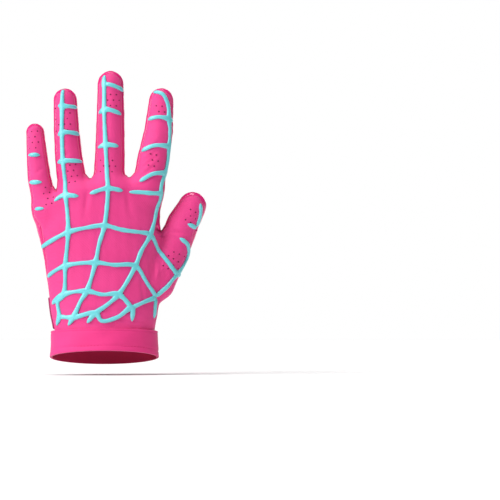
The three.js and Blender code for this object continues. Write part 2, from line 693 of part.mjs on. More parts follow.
// A closed solid from one panel's faces: its outer skin is moved by outer along the form's normal and its
// inner skin by inner, and its edge is drawn back from the seam.
function shell(side, outer, inner, seamGap) {
  const keys = [...new Set(faces[side].flat())];
  const number = new Map(keys.map((key, i) => [key, i]));
  const triangles = faces[side].flatMap((face) => {
    const ids = face.map((key) => number.get(key));
    return ids.length === 4 ? [[ids[0], ids[1], ids[2]], [ids[0], ids[2], ids[3]]] : [ids];
  });
  const place = keys.map((key) => points.get(key));
  const normal = place.map(outwardAt);

  const open = new Map();
  for (const [a, b, c] of triangles) {
    for (const [from, to, third] of [[a, b, c], [b, c, a], [c, a, b]]) {
      if (open.has(`${to} ${from}`)) open.delete(`${to} ${from}`);
      else open.set(`${from} ${to}`, { from, to, third });
    }
  }
  const edges = [...open.values()];
  const pull = place.map(() => new THREE.Vector3());
  for (const { from, to } of edges) {
    const run = place[to].clone().sub(place[from]).normalize();
    for (const end of [from, to]) pull[end].add(normal[end].clone().cross(run));
  }
  const drawn = place.map((p, i) => p.clone().addScaledVector(pull[i].normalize(), seamGap));

  const positions = [];
  for (const level of [outer, inner]) {
    drawn.forEach((p, i) => {
      positions.push(...p.clone().addScaledVector(normal[i], level).toArray());
    });
  }
  const count = keys.length;
  const closed = triangles.flatMap(([a, b, c]) => [a, b, c, a + count, c + count, b + count]);
  for (const { from, to } of edges) {
    // Both panels split a seam's facet along the same diagonal, so their facing edges stay parallel.
    const rising = keys[from] < keys[to];
    if (rising) closed.push(from, from + count, to + count, from, to + count, to);
    else closed.push(from, from + count, to, to, from + count, to + count);
  }
  return indexed(positions, closed);
}

function indexed(positions, index) {
  const geometry = new THREE.BufferGeometry();
  geometry.setAttribute("position", new THREE.Float32BufferAttribute(positions, 3));
  geometry.setIndex(index);
  return geometry;
}

function toSolid(geometry) {
  const merged = mergeVertices(geometry, 1e-4);
  return new wasm.Manifold(
    new wasm.Mesh({
      numProp: 3,
      vertProperties: new Float32Array(merged.attributes.position.array),
      triVerts: new Uint32Array(merged.index.array),
    }),
  );
}

function toGeometry(solid) {
  const mesh = solid.getMesh();
  return indexed(Array.from(mesh.vertProperties), Array.from(mesh.triVerts));
}

// Bands round the wrist: rings of points at two levels outside the form, between two heights up the cuff.
const CUFF_SIDES = 44;

function band({ levels, heights, arc = [0, 2 * Math.PI], sides = CUFF_SIDES }) {
  const whole = arc[1] - arc[0] > 2 * Math.PI - 1e-6;
  const around = whole ? sides : sides + 1;
  const positions = [];
  for (const level of levels) {
    for (const height of heights) {
      for (let i = 0; i < around; i += 1) {
        const angle = lerp(arc[0], arc[1], i / sides);
        const origin = new THREE.Vector3(0, 0, height);
        const spot = castOut(origin, directionAt(angle, tiltAt(height)), level);
        positions.push(...spot.toArray());
      }
    }
  }
  const rows = heights.length;
  const id = (skin, row, i) => (skin * rows + row) * around + (whole ? i % sides : i);
  const index = [];
  const face = (a, b, c, d) => index.push(a, c, b, a, d, c);
  for (let i = 0; i < sides; i += 1) {
    for (let row = 0; row + 1 < rows; row += 1) {
      face(id(0, row, i), id(0, row, i + 1), id(0, row + 1, i + 1), id(0, row + 1, i));
      face(id(1, row, i + 1), id(1, row, i), id(1, row + 1, i), id(1, row + 1, i + 1));
    }
    face(id(0, 0, i + 1), id(0, 0, i), id(1, 0, i), id(1, 0, i + 1));
    face(id(0, rows - 1, i), id(0, rows - 1, i + 1), id(1, rows - 1, i + 1), id(1, rows - 1, i));
  }
  if (!whole) {
    for (let row = 0; row + 1 < rows; row += 1) {
      face(id(0, row, 0), id(0, row + 1, 0), id(1, row + 1, 0), id(1, row, 0));
      face(id(0, row + 1, sides), id(0, row, sides), id(1, row, sides), id(1, row + 1, sides));
    }
  }
  return indexed(positions, index);
}

const evenly = (from, to, steps) => Array.from({ length: steps + 1 }, (_, i) => lerp(from, to, i / steps));

// Beads on the surface: ribs and bindings, swept along points that lie on the form.
const BEAD_ROOT = GAP + 0.1; // a bead's underside is this far off the form
const BEAD_CHORD = 0.2; // its facets stray from the form by no more than this
const BEAD_STEPS = { shortest: 4, longest: 14 };
const BEAD_FLAT = 0.55; // its flat top, as a share of its width
const BEAD_END = 0.6; // its end sections, as a share of the full one

function onSurface(x, z, side = "back") {
  const towards = side === "back" ? 1 : -1;
  const p = new THREE.Vector3(x, -towards * PALM_LENGTH * 0.4, z);
  const limit = PALM_LENGTH * 0.8;
  for (let gone = 0; gone < limit; gone += 0.5) {
    if (formDistance(p) < 0) break;
    p.y += towards * 0.5;
  }
  if (formDistance(p) >= 0) p.y = middleOfForm(x, z);
  return settle(settle(p));
}

function middleOfForm(x, z) {
  const beyondHand = x > THUMB_WEB.x;
  const belowThumbTip = z < CHAINS.thumb.joints[3].z + FINGER_WIDTH / 2;
  if (beyondHand && belowThumbTip) return chainAtHeight(CHAINS.thumb, z).centre.y;
  return handMiddle(x, Math.min(z, PALM_LENGTH));
}

function settle(p) {
  for (let i = 0; i < 5; i += 1) p.addScaledVector(outwardAt(p), -formDistance(p));
  return p;
}

// A path's points, closer together where it or the form bends.
function pathSpots(path) {
  const curve = new THREE.CatmullRomCurve3(path, false, "centripetal");
  const at = (t) => settle(curve.getPointAt(t));
  const split = (t0, p0, t1, p1) => {
    const t = (t0 + t1) / 2;
    const middle = at(t);
    const length = p0.distanceTo(p1);
    const strays = middle.distanceTo(p0.clone().lerp(p1, 0.5)) > BEAD_CHORD;
    if (length < BEAD_STEPS.longest && !(strays && length > BEAD_STEPS.shortest)) return [p1];
    return [...split(t0, p0, t, middle), ...split(t, middle, t1, p1)];
  };
  return [at(0), ...split(0, at(0), 1, at(1))];
}

function bead(path, width, height, root = BEAD_ROOT) {
  const profile = [[-1, root], [-BEAD_FLAT, height], [BEAD_FLAT, height], [1, root]];
  const spots = pathSpots(path);
  const steps = spots.length - 1;
  const positions = [];
  spots.forEach((spot, i) => {
    const ahead = spots[Math.min(i + 1, steps)].clone().sub(spots[Math.max(i - 1, 0)]);
    const up = outwardAt(spot);
    const aside = ahead.cross(up).normalize();
    const thin = i === 0 || i === steps ? BEAD_END : 1;
    for (const [side, lift] of profile) {
      const reach = spot.clone().addScaledVector(aside, (side * thin * width) / 2);
      const rise = Math.max(lift * thin, root) - formDistance(reach);
      positions.push(...reach.addScaledVector(up, rise).toArray());
    }
  });
  const n = profile.length;
  const index = [];
  for (let i = 0; i < steps; i += 1) {
    for (let j = 0; j < n; j += 1) {
      const [a, b] = [i * n + j, i * n + ((j + 1) % n)];
      index.push(a, b, b + n, a, b + n, a + n);
    }
  }
  for (let j = 1; j + 1 < n; j += 1) {
    index.push(0, j + 1, j, steps * n, steps * n + j, steps * n + j + 1);
  }
  return toSolid(indexed(positions, index));
}

function stopsOf({ on, stops, then = [] }) {
  const first = stops.map(([a, b]) => {
    if (!on) return onSurface((a * PALM_WIDTH) / 2, b * PALM_LENGTH);
    const { centre, radius, axis } = alongChain(CHAINS[on], a);
    const aside = new THREE.Vector3(0, 1, 0).cross(axis).normalize();
    const spot = centre.addScaledVector(aside, b * radius);
    return onSurface(spot.x, spot.z);
  });
  return [...first, ...then.map(([a, b]) => onSurface((a * PALM_WIDTH) / 2, b * PALM_LENGTH))];
}

const CUTTER_DEPTH = 2.5;
const MERGE_STRAY = 0.1;
const panelCutters = ["back", "palm"].map((side) => toSolid(shell(side, GAP, -CUTTER_DEPTH, -GAP)));
const cuffCutter = toSolid(
  band({ levels: [2 * GAP + CUFF_WALL + CUFF_FIT, -GAP], heights: evenly(0, CUFF_HEIGHT + GAP, 3) }),
);

function beadSolid(paths, width, height, cutters) {
  const joined = paths.map((path) => bead(path, width, height)).reduce((all, one) => all.add(one));
  const cut = cutters.reduce((rest, cutter) => rest.subtract(cutter), joined);
  const bodies = cut.simplify(MERGE_STRAY).decompose();
  // Only the largest body is kept, without the slivers that a cut can leave.
  return bodies.sort((a, b) => b.volume() - a.volume())[0];
}

// Assembly

const glove = new THREE.Group();

function add(name, geometry, look) {
  geometry.computeVertexNormals();
  const mesh = new THREE.Mesh(geometry, new THREE.MeshStandardMaterial(COLOURS[look]));
  mesh.name = name;
  glove.add(mesh);
}

add("back_panel", shell("back", 0, -BACK_WALL, GAP / 2), "fabric");
add("palm_panel", shell("palm", 0, -PALM_WALL, GAP / 2), "coating");

const cuffFace = CUFF_FIT + CUFF_WALL;
const cuff = { levels: [cuffFace, CUFF_FIT], heights: evenly(0, CUFF_HEIGHT, 2) };
add("cuff_band", band(cuff), "fabric");

const strapFace = cuffFace + GAP + STRAP_WALL;
const strapBottom = CUFF_HEIGHT - STRAP_HEIGHT;
const strapHalf = degToRad(STRAP_ARC) / 2;
const strap = {
  levels: [strapFace, cuffFace + GAP],
  heights: evenly(strapBottom, CUFF_HEIGHT, 3),
  arc: [1.5 * Math.PI - strapHalf, 1.5 * Math.PI + strapHalf],
  sides: 22,
};
add("wrist_strap", band(strap), "strap");

const tabStart = strap.arc[0] + degToRad(TAB_INSET);
const tab = {
  levels: [strapFace + GAP + TAB_WALL, strapFace + GAP],
  heights: evenly(strapBottom + TAB_MARGIN, CUFF_HEIGHT - TAB_MARGIN, 3),
  arc: [tabStart, tabStart + TAB_LENGTH / WRIST_BEND],
  sides: 6,
};
add("closure_tab", band(tab), "strap");

// The notch's binding goes up one bound edge, over the notch's top and down the other.
function notchEdge(side, z) {
  const turn = notchHalfAngle(z) + BINDING_WIDTH / WRIST_DEPTH;
  const { origin, angle, tilt } = handRay("back", -1, { columns: 5 * K, climb: 0, z });
  return castOut(origin, directionAt(side === "back" ? angle - turn : angle + turn, tilt));
}
const notchHeights = evenly(CUFF_HEIGHT + 2 * GAP, CUFF_HEIGHT + NOTCH_LENGTH, 4);
const bindingPath = [
  ...notchHeights.map((z) => notchEdge("back", z)),
  ...notchHeights.reverse().map((z) => notchEdge("palm", z)),
];
const shellCutters = [...panelCutters, cuffCutter];
const binding = beadSolid([bindingPath], BINDING_WIDTH, BINDING_HEIGHT, shellCutters);
const bindingCutter = bead(bindingPath, BINDING_WIDTH + 2 * GAP, RIB_HEIGHT + GAP, 0);
add("notch_binding", toGeometry(binding), "ribbing");

for (const [name, strands] of Object.entries(RIBS)) {
  const ribs = beadSolid(strands.map(stopsOf), RIB_WIDTH, RIB_HEIGHT, [...shellCutters, bindingCutter]);
  add(name, toGeometry(ribs), "ribbing");
}

export default glove;
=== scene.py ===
"""Football receiver glove for a left hand: fine surfaces, finishes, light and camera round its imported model.

Sizes are millimetres in the model's own frame (+X to the thumb, +Y to the palm, +Z to the fingertips), and
turn into metres where a mesh is made.
"""

from __future__ import annotations

import logging
import math
from dataclasses import dataclass
from enum import Enum
from typing import Callable, Iterable, Sequence

import bpy
import numpy as np
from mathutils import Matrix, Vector


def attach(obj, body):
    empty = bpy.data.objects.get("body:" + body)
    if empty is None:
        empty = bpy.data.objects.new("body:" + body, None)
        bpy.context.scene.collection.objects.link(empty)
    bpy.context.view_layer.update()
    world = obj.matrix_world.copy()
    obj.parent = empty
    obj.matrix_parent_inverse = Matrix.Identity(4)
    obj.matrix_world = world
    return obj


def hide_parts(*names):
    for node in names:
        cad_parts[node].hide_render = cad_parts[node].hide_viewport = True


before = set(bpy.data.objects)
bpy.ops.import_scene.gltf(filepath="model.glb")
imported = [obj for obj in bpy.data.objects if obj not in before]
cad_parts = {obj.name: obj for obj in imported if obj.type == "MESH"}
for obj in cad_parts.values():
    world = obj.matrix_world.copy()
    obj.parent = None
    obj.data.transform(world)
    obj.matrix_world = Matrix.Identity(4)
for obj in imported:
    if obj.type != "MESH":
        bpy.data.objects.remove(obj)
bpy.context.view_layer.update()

LOG = logging.getLogger("glove")
MM = 0.001
BODY = "root"


# Driving sizes


@dataclass(frozen=True)
class GloveSizes:
    """The sizes that the worn hand's form is worked out from, in millimetres and degrees."""

    palm_length: float = 130.0
    palm_width: float = 102.0
    palm_depth: float = 34.0
    palm_cup: float = 4.5
    wrist_width: float = 77.0
    wrist_depth: float = 44.0
    finger_length: float = 81.0
    finger_width: float = 22.0
    finger_flatness: float = 0.93
    thumb_forward: float = 11.0
    mouth_width: float = 78.5
    mouth_depth: float = 50.0
    cuff_height: float = 20.0
    cuff_wall: float = 2.0
    cuff_fit: float = 0.75
    rim_tilt: float = 11.5
    cuff_top_tilt: float = 5.0
    tuck: float = 4.0
    gap: float = 0.3
    back_wall: float = 1.2
    palm_wall: float = 1.5
    seam_turn: float = 24.0
    wrist_seam_turn: float = -6.0
    notch_length: float = 25.0
    notch_width: float = 8.0
    web_softness: float = 5.0
    knuckle_softness: float = 9.0
    thumb_softness: float = 5.5
    crown_softness: float = 8.0
    web_drop: float = 4.5


SIZES = GloveSizes()


class Side(Enum):
    """The two panels that the glove is sewn from."""

    BACK = "back"
    PALM = "palm"


@dataclass(frozen=True)
class PalmSection:
    """One level section of the palm: its height, both edges, depth, cupping and squareness."""

    up: float
    ulnar: float
    radial: float
    depth: float
    cup: float
    square: float


@dataclass(frozen=True)
class Finger:
    """A finger's root and bones as shares of the palm and finger sizes, with leans and bends in degrees."""

    across: float
    up: float
    bones: tuple[float, float, float]
    lean: tuple[float, float, float]
    bend: tuple[float, float, float]
    width: tuple[float, float, float, float]


@dataclass(frozen=True)
class Fold:
    """A soft fold: its side, both ends as shares of the palm's width and length, its width as a share of the
    palm's width and its depth of the palm's depth."""

    side: Side
    start: tuple[float, float]
    end: tuple[float, float]
    width: float
    depth: float


def palm_sections(s: GloveSizes) -> list[PalmSection]:
    """Returns the palm's sections from below the rim to the roots of the fingers."""
    mouth, wrist, palm = s.mouth_width, s.wrist_width, s.palm_width
    return [
        PalmSection(-0.1 * s.palm_length, -0.52 * mouth, 0.52 * mouth, 1.06 * s.mouth_depth, 0.0, 2.0),
        PalmSection(0.0, -0.5 * mouth, 0.5 * mouth, s.mouth_depth, 0.0, 2.0),
        PalmSection(0.16 * s.palm_length, -0.5 * wrist, 0.5 * wrist, s.wrist_depth, 0.0, 2.1),
        PalmSection(0.26 * s.palm_length, -0.53 * wrist, 0.53 * wrist, 0.97 * s.wrist_depth, 0.3, 2.2),
        PalmSection(0.42 * s.palm_length, -0.425 * palm, 0.42 * palm, 1.14 * s.palm_depth, 0.6, 2.3),
        PalmSection(0.6 * s.palm_length, -0.46 * palm, 0.42 * palm, 1.04 * s.palm_depth, 1.0, 2.4),
        PalmSection(0.75 * s.palm_length, -0.507 * palm, 0.42 * palm, s.palm_depth, 1.0, 2.4),
        PalmSection(0.88 * s.palm_length, -0.528 * palm, 0.42 * palm, 0.9 * s.palm_depth, 1.0, 2.3),
        PalmSection(1.0 * s.palm_length, -0.545 * palm, 0.425 * palm, 0.78 * s.palm_depth, 1.0, 2.2),
        PalmSection(1.08 * s.palm_length, -0.545 * palm, 0.43 * palm, 0.62 * s.palm_depth, 1.0, 2.2),
    ]


FINGERS: dict[str, Finger] = {
    "little": Finger(
        -0.44, 0.874, (0.311, 0.22, 0.217), (-12.4, -6.1, -5.0), (2, 6, 9), (0.86, 0.8, 0.71, 0.62)
    ),
    "ring": Finger(
        -0.236, 0.992, (0.306, 0.268, 0.292), (-8.1, -5.0, -2.7), (2, 4, 7), (1.06, 0.95, 0.87, 0.8)
    ),
    "middle": Finger(
        0.031, 1.003, (0.362, 0.332, 0.31), (1.6, 0.9, 0.0), (2, 4, 7), (1.1, 1.02, 0.96, 0.89)
    ),
    "index": Finger(
        0.322, 0.992, (0.309, 0.272, 0.295), (10.6, 11.0, 4.8), (2, 4, 7), (1.08, 1.1, 0.99, 0.84)
    ),
}
THUMB = Finger(0.377, 0.454, (0.321, 0.285, 0.209), (31.5, 20.6, 28.2), (0, 0, 0), (1.5, 1.16, 1.14, 0.96))
THUMB_FORWARD_SHARES = (0.45, 0.8, 0.95, 1.0)
FINGER_NAMES = tuple(FINGERS)
CROWN = ((-0.47, 0.89), (-0.357, 0.955), (-0.112, 1.035), (0.19, 1.05), (0.38, 1.01))


def folds(side: Side, *rows: tuple[float, ...]) -> list[Fold]:
    """Returns one side's folds.

    Args:
        side: the side that they are on.
        rows: both ends, the width and the depth of each.
    """
    return [Fold(side, row[:2], row[2:4], row[4], row[5]) for row in rows]


FOLDS: tuple[Fold, ...] = (
    *folds(
        Side.PALM,
        (0.36, 0.82, 0.02, 0.34, 0.07, 0.047), (0.4, 0.8, -0.3, 0.72, 0.06, 0.035),
        (0.1, 0.9, -0.5, 0.84, 0.06, 0.032),
    ),
    *folds(
        Side.BACK,
        (0.41, 0.66, 0.32, 0.34, 0.05, 0.03), (0.48, 0.56, 0.39, 0.36, 0.05, 0.026),
    ),
)

# Narrow wrinkles of the stretched cloth, apart from the folds because they move the surface only a little.
WRINKLES: tuple[Fold, ...] = (
    *folds(
        Side.BACK,
        (0.3, 1.2, 0.43, 1.29, 0.026, 0.02), (0.28, 1.15, 0.43, 1.25, 0.024, 0.026),
        (0.27, 1.11, 0.42, 1.21, 0.024, 0.026), (0.26, 1.06, 0.4, 1.15, 0.026, 0.022),
        (0.28, 1.02, 0.4, 1.09, 0.024, 0.018), (0.39, 0.94, 0.42, 0.74, 0.026, 0.016),
        (0.328, 0.69, 0.357, 0.42, 0.026, 0.022), (0.371, 0.6, 0.386, 0.39, 0.024, 0.024),
        (0.43, 0.62, 0.413, 0.39, 0.024, 0.026), (0.47, 0.56, 0.443, 0.4, 0.022, 0.02),
        (0.27, 0.5, 0.3, 0.3, 0.026, 0.016), (0.46, 0.745, 0.63, 0.74, 0.022, 0.026),
        (0.47, 0.72, 0.56, 0.7, 0.02, 0.014), (0.5, 0.83, 0.58, 0.86, 0.022, 0.012),
        (-0.42, 0.86, -0.47, 0.5, 0.03, 0.014), (-0.12, 1.0, -0.15, 0.84, 0.03, 0.02),
        (0.16, 1.02, 0.19, 0.84, 0.032, 0.02), (-0.32, 0.29, 0.3, 0.26, 0.03, 0.014),
        (-0.36, 0.21, 0.12, 0.19, 0.024, 0.016), (0.0, 0.24, 0.34, 0.2, 0.024, 0.014),
        (-0.25, 1.21, -0.36, 1.18, 0.02, 0.014), (0.0, 1.27, 0.1, 1.28, 0.02, 0.014),
        (-0.46, 1.12, -0.53, 1.08, 0.018, 0.014),
    ),
    *folds(
        Side.PALM,
        (0.3, 0.62, 0.24, 0.3, 0.024, 0.02), (0.22, 0.6, 0.1, 0.3, 0.024, 0.016),
        (0.38, 0.74, -0.1, 0.64, 0.024, 0.02), (0.3, 0.94, -0.2, 0.9, 0.022, 0.018),
        (-0.1, 0.98, -0.46, 0.92, 0.022, 0.018), (-0.36, 0.66, -0.3, 0.34, 0.028, 0.016),
        (-0.28, 0.62, -0.22, 0.36, 0.024, 0.013), (-0.3, 0.28, 0.3, 0.26, 0.026, 0.015),
        (-0.34, 1.2, -0.22, 1.19, 0.022, 0.03), (-0.02, 1.25, 0.12, 1.25, 0.022, 0.03),
        (0.3, 1.2, 0.44, 1.18, 0.022, 0.03), (-0.54, 1.08, -0.43, 1.09, 0.02, 0.026),
        (-0.35, 1.38, -0.25, 1.38, 0.018, 0.02), (0.0, 1.46, 0.11, 1.46, 0.018, 0.02),
        (0.37, 1.37, 0.48, 1.36, 0.018, 0.02),
    ),
)


# Helpers, each for many points at once

Value = float | np.ndarray


def unit(v: np.ndarray) -> np.ndarray:
    """Returns the rows of v at length one."""
    return v / np.maximum(np.linalg.norm(v, axis=-1, keepdims=True), 1e-12)


def smoothstep(x: np.ndarray | float, low: float, high: float) -> np.ndarray:
    """Returns 0 below low, 1 above high and a smooth ramp between."""
    t = np.clip((np.asarray(x, float) - low) / (high - low), 0.0, 1.0)
    return t * t * (3 - 2 * t)


def mix(a: Value, b: Value, t: Value) -> Value:
    """Returns a at t = 0 and b at t = 1."""
    return a + (b - a) * t


def rise(x: np.ndarray, middle: float, breadth: float, height: float) -> np.ndarray:
    """Returns a soft rise round x = middle, or a groove where height is negative."""
    return height * np.exp(-(((x - middle) / breadth) ** 2))


class Table:
    """Columns of a short table, read between its rows as smooth curves."""

    def __init__(self, at: Sequence[float], columns: dict[str, Sequence[float]]):
        """Args:
        at: the rows' places, rising.
        columns: each column's values, a value for each row.
        """
        self.at = np.array(at, float)
        self.columns = {key: np.array(values, float) for key, values in columns.items()}

    def read(self, key: str, at: np.ndarray | float) -> np.ndarray:
        """Returns a column's values at the given places."""
        x = np.clip(np.asarray(at, float), self.at[0], self.at[-1])
        i = np.clip(np.searchsorted(self.at, x, side="right") - 1, 0, len(self.at) - 2)
        y, last = self.columns[key], len(self.at) - 1
        span = self.at[i + 1] - self.at[i]
        t = (x - self.at[i]) / span

        def slope(j: np.ndarray) -> np.ndarray:
            before, after = np.maximum(j - 1, 0), np.minimum(j + 1, last)
            return (y[after] - y[before]) / (self.at[after] - self.at[before]) * span

        t2, t3 = t * t, t * t * t
        return (
            (2 * t3 - 3 * t2 + 1) * y[i]
            + (t3 - 2 * t2 + t) * slope(i)
            + (3 * t2 - 2 * t3) * y[i + 1]
            + (t3 - t2) * slope(i + 1)
        )


class Chain:
    """A finger's bones: joints, radii and the line through them."""

    def __init__(self, finger: Finger, s: GloveSizes, forward: Sequence[float] | None = None):
        """Args:
        finger: the finger's row.
        s: the glove's sizes.
        forward: each joint's distance towards the palm, where bends don't give it.
        """
        joints = [np.array([finger.across * s.palm_width, 0.0, finger.up * s.palm_length])]
        for share, lean, bend in zip(finger.bones, finger.lean, finger.bend):
            lean, bend = math.radians(lean), math.radians(bend)
            step = np.array([math.sin(lean), math.sin(bend), math.cos(lean)])
            joints.append(joints[-1] + step * share * s.finger_length)
        self.joints = np.array(joints)
        if forward is not None:
            self.joints[:, 1] = forward
        self.radii = np.array(finger.width) * s.finger_width / 2
        self.lengths = np.linalg.norm(np.diff(self.joints, axis=0), axis=1)
        self.total = float(self.lengths.sum())

    def along(self, share: float) -> tuple[np.ndarray, float, np.ndarray]:
        """Returns centre, radius and direction at a share of the length, or straight on past an end."""
        rest, i = share * self.total, 0
        while i < len(self.lengths) - 1 and rest > self.lengths[i]:
            rest -= self.lengths[i]
            i += 1
        t = rest / self.lengths[i]
        step = self.joints[i + 1] - self.joints[i]
        radius = mix(self.radii[i], self.radii[i + 1], min(max(t, 0.0), 1.0))
        return self.joints[i] + step * t, float(radius), unit(step)

    def at_height(self, z: float) -> tuple[np.ndarray, float]:
        """Returns the centre and radius where the line is at height z."""
        i = 0
        while i < len(self.lengths) - 1 and z > self.joints[i + 1][2]:
            i += 1
        a, b = self.joints[i], self.joints[i + 1]
        t = (z - a[2]) / (b[2] - a[2])
        return a + (b - a) * t, float(mix(self.radii[i], self.radii[i + 1], min(max(t, 0.0), 1.0)))


def smooth_min(a: np.ndarray, b: np.ndarray, softness: float) -> np.ndarray:
    """Returns the smaller of a and b, rounded where they meet."""
    h = np.maximum(softness - np.abs(a - b), 0) / softness
    return np.minimum(a, b) - h * h * softness / 4


class Form:
    """The worn hand's form as a distance field that is negative inside.

    FOLD_ENDS is where a fold's fade stops, as shares of its length. PROBE is the reach for outward
    directions, STRIDE and SIGHT_STEP are those of rays, in mm, and SIGHT_START is where rays from outside
    start, as a share of the palm's length. Past THUMB_SIDE, in mm, and up to THUMB_TOP of the thumb's
    height there is only thumb.
    """

    FOLD_ENDS = (0.08, 0.92)
    PROBE = 0.4
    STRIDE = 1.5
    STRIDES = 90
    HALVINGS = 18
    SETTLINGS = 6
    SIGHT_START = 0.4
    SIGHT_STEP = 0.5
    THUMB_SIDE = 46.0
    THUMB_TOP = 1.1

    def __init__(self, s: GloveSizes):
        """Args:
        s: the glove's sizes.
        """
        self.s = s
        rows = palm_sections(s)
        keys = ("ulnar", "radial", "depth", "cup", "square")
        self.palm = Table([r.up for r in rows], {k: [getattr(r, k) for r in rows] for k in keys})
        heights = [up * s.palm_length for _, up in CROWN]
        self.crown = Table([across * s.palm_width for across, _ in CROWN], {"height": heights})
        self.chains = {name: Chain(finger, s) for name, finger in FINGERS.items()}
        self.chains["thumb"] = Chain(THUMB, s, [s.thumb_forward * share for share in THUMB_FORWARD_SHARES])

    def middle(self, x: np.ndarray, z: np.ndarray) -> np.ndarray:
        """Returns how far the palm's middle surface lies towards the palm's side, at x and z."""
        ulnar, radial = self.palm.read("ulnar", z), self.palm.read("radial", z)
        u = (2 * x - ulnar - radial) / (radial - ulnar)
        return self.s.palm_cup * self.palm.read("cup", z) * (u * u - 0.4)

    def _palm(self, p: np.ndarray) -> np.ndarray:
        x, y, z = p.T
        ulnar, radial = self.palm.read("ulnar", z), self.palm.read("radial", z)
        square = self.palm.read("square", z)
        half_width, half_depth = (radial - ulnar) / 2, self.palm.read("depth", z) / 2
        u = np.abs(x - (ulnar + radial) / 2) / half_width
        v = np.abs(y - self.middle(x, z)) / half_depth
        reach = np.maximum((u**square + v**square) ** (1 / square), 1e-3)
        steep = np.hypot((u / reach) ** (square - 1) / half_width, (v / reach) ** (square - 1) / half_depth)
        crown = z - self.crown.read("height", x)
        return -smooth_min(-(reach - 1) / steep, -crown, self.s.crown_softness)

    def _chain(self, p: np.ndarray, chain: Chain) -> np.ndarray:
        nearest = np.full(len(p), np.inf)
        for i in range(len(chain.lengths)):
            a, step = chain.joints[i], chain.joints[i + 1] - chain.joints[i]
            t = np.clip(((p - a) @ step) / (step @ step), 0, 1)
            off = p - a - t[:, None] * step
            off[:, 1] /= self.s.finger_flatness
            away = np.linalg.norm(off, axis=1)
            nearest = np.minimum(nearest, away - mix(chain.radii[i], chain.radii[i + 1], t))
        return nearest

    def fold_depth(self, p: np.ndarray, folds: Iterable[Fold]) -> np.ndarray:
        """Returns how deep the folds press the surface in at each point."""
        depth = np.zeros(len(p))
        for fold in folds:
            a = np.array(fold.start) * (self.s.palm_width, self.s.palm_length)
            b = np.array(fold.end) * (self.s.palm_width, self.s.palm_length)
            q = p[:, [0, 2]]
            t = np.clip(((q - a) @ (b - a)) / ((b - a) @ (b - a)), 0, 1)
            away = np.linalg.norm(q - a - t[:, None] * (b - a), axis=1)
            fade = np.sin(np.pi * np.clip(t, *self.FOLD_ENDS))
            on_side = (p[:, 1] > 0) if fold.side is Side.PALM else (p[:, 1] < 0)
            pressed = 1 - smoothstep(away, 0, fold.width * self.s.palm_width)
            depth += on_side * fold.depth * self.s.palm_depth * fade * pressed
        return depth

    def distance(self, p: np.ndarray) -> np.ndarray:
        """Returns each point's distance from the surface."""
        fingers = self._chain(p, self.chains[FINGER_NAMES[0]])
        for name in FINGER_NAMES[1:]:
            fingers = smooth_min(fingers, self._chain(p, self.chains[name]), self.s.web_softness)
        hand = smooth_min(self._palm(p), fingers, self.s.knuckle_softness)
        whole = smooth_min(hand, self._chain(p, self.chains["thumb"]), self.s.thumb_softness)
        return whole + self.fold_depth(p, FOLDS)

    def outward(self, p: np.ndarray) -> np.ndarray:
        """Returns the surface's outward direction at each point."""
        h = self.PROBE
        parts = [self.distance(p + h * axis) - self.distance(p - h * axis) for axis in np.eye(3)]
        return unit(np.stack(parts, axis=1))

    def cast(self, origin: np.ndarray, direction: np.ndarray, level: float = 0.0) -> np.ndarray:
        """Returns where rays from inside cross the surface, or the one that lies a level outside it."""
        step, far = self.STRIDE, np.full(len(origin), self.STRIDE)
        for _ in range(self.STRIDES):
            inside = self.distance(origin + far[:, None] * direction) < level
            if not inside.any():
                break
            far = np.where(inside, far + step, far)
        near = far - step
        for _ in range(self.HALVINGS):
            half = (near + far) / 2
            inside = self.distance(origin + half[:, None] * direction) < level
            near, far = np.where(inside, half, near), np.where(inside, far, half)
        return origin + ((near + far) / 2)[:, None] * direction

    def settle(self, p: np.ndarray, level: float = 0.0) -> np.ndarray:
        """Returns the points moved onto the surface, or to a level outside it."""
        p = p.copy()
        for _ in range(self.SETTLINGS):
            p += self.outward(p) * (level - self.distance(p))[:, None]
        return p

    def on_side(self, x: np.ndarray, z: np.ndarray, side: Side = Side.BACK) -> np.ndarray:
        """Returns the surface points seen at x and z from the back or from the palm's side."""
        towards = 1.0 if side is Side.BACK else -1.0
        reach = self.SIGHT_START * self.s.palm_length
        p = np.stack([x, np.full(len(x), -towards * reach), z], axis=1).astype(float)
        found = np.zeros(len(p), bool)
        for _ in range(int(2 * reach / self.SIGHT_STEP)):
            found |= self.distance(p) < 0
            p[~found, 1] += towards * self.SIGHT_STEP
        missed = ~found
        p[missed, 1] = self.middle(p[missed, 0], np.minimum(p[missed, 2], self.s.palm_length))
        thumb = self.chains["thumb"]
        for i in np.flatnonzero(missed):
            if p[i, 0] > self.THUMB_SIDE and p[i, 2] < self.THUMB_TOP * thumb.joints[3][2]:
                p[i, 1] = thumb.at_height(p[i, 2])[0][1]
        return self.settle(self.settle(p))


# The fine surface


@dataclass(frozen=True)
class Density:
    """How finely the glove's surface is meshed; step is in millimetres."""

    columns: int = 20
    bridge: int = 8
    cap: int = 10
    step: float = 1.2


Key = tuple
Ray = tuple[np.ndarray, np.ndarray]


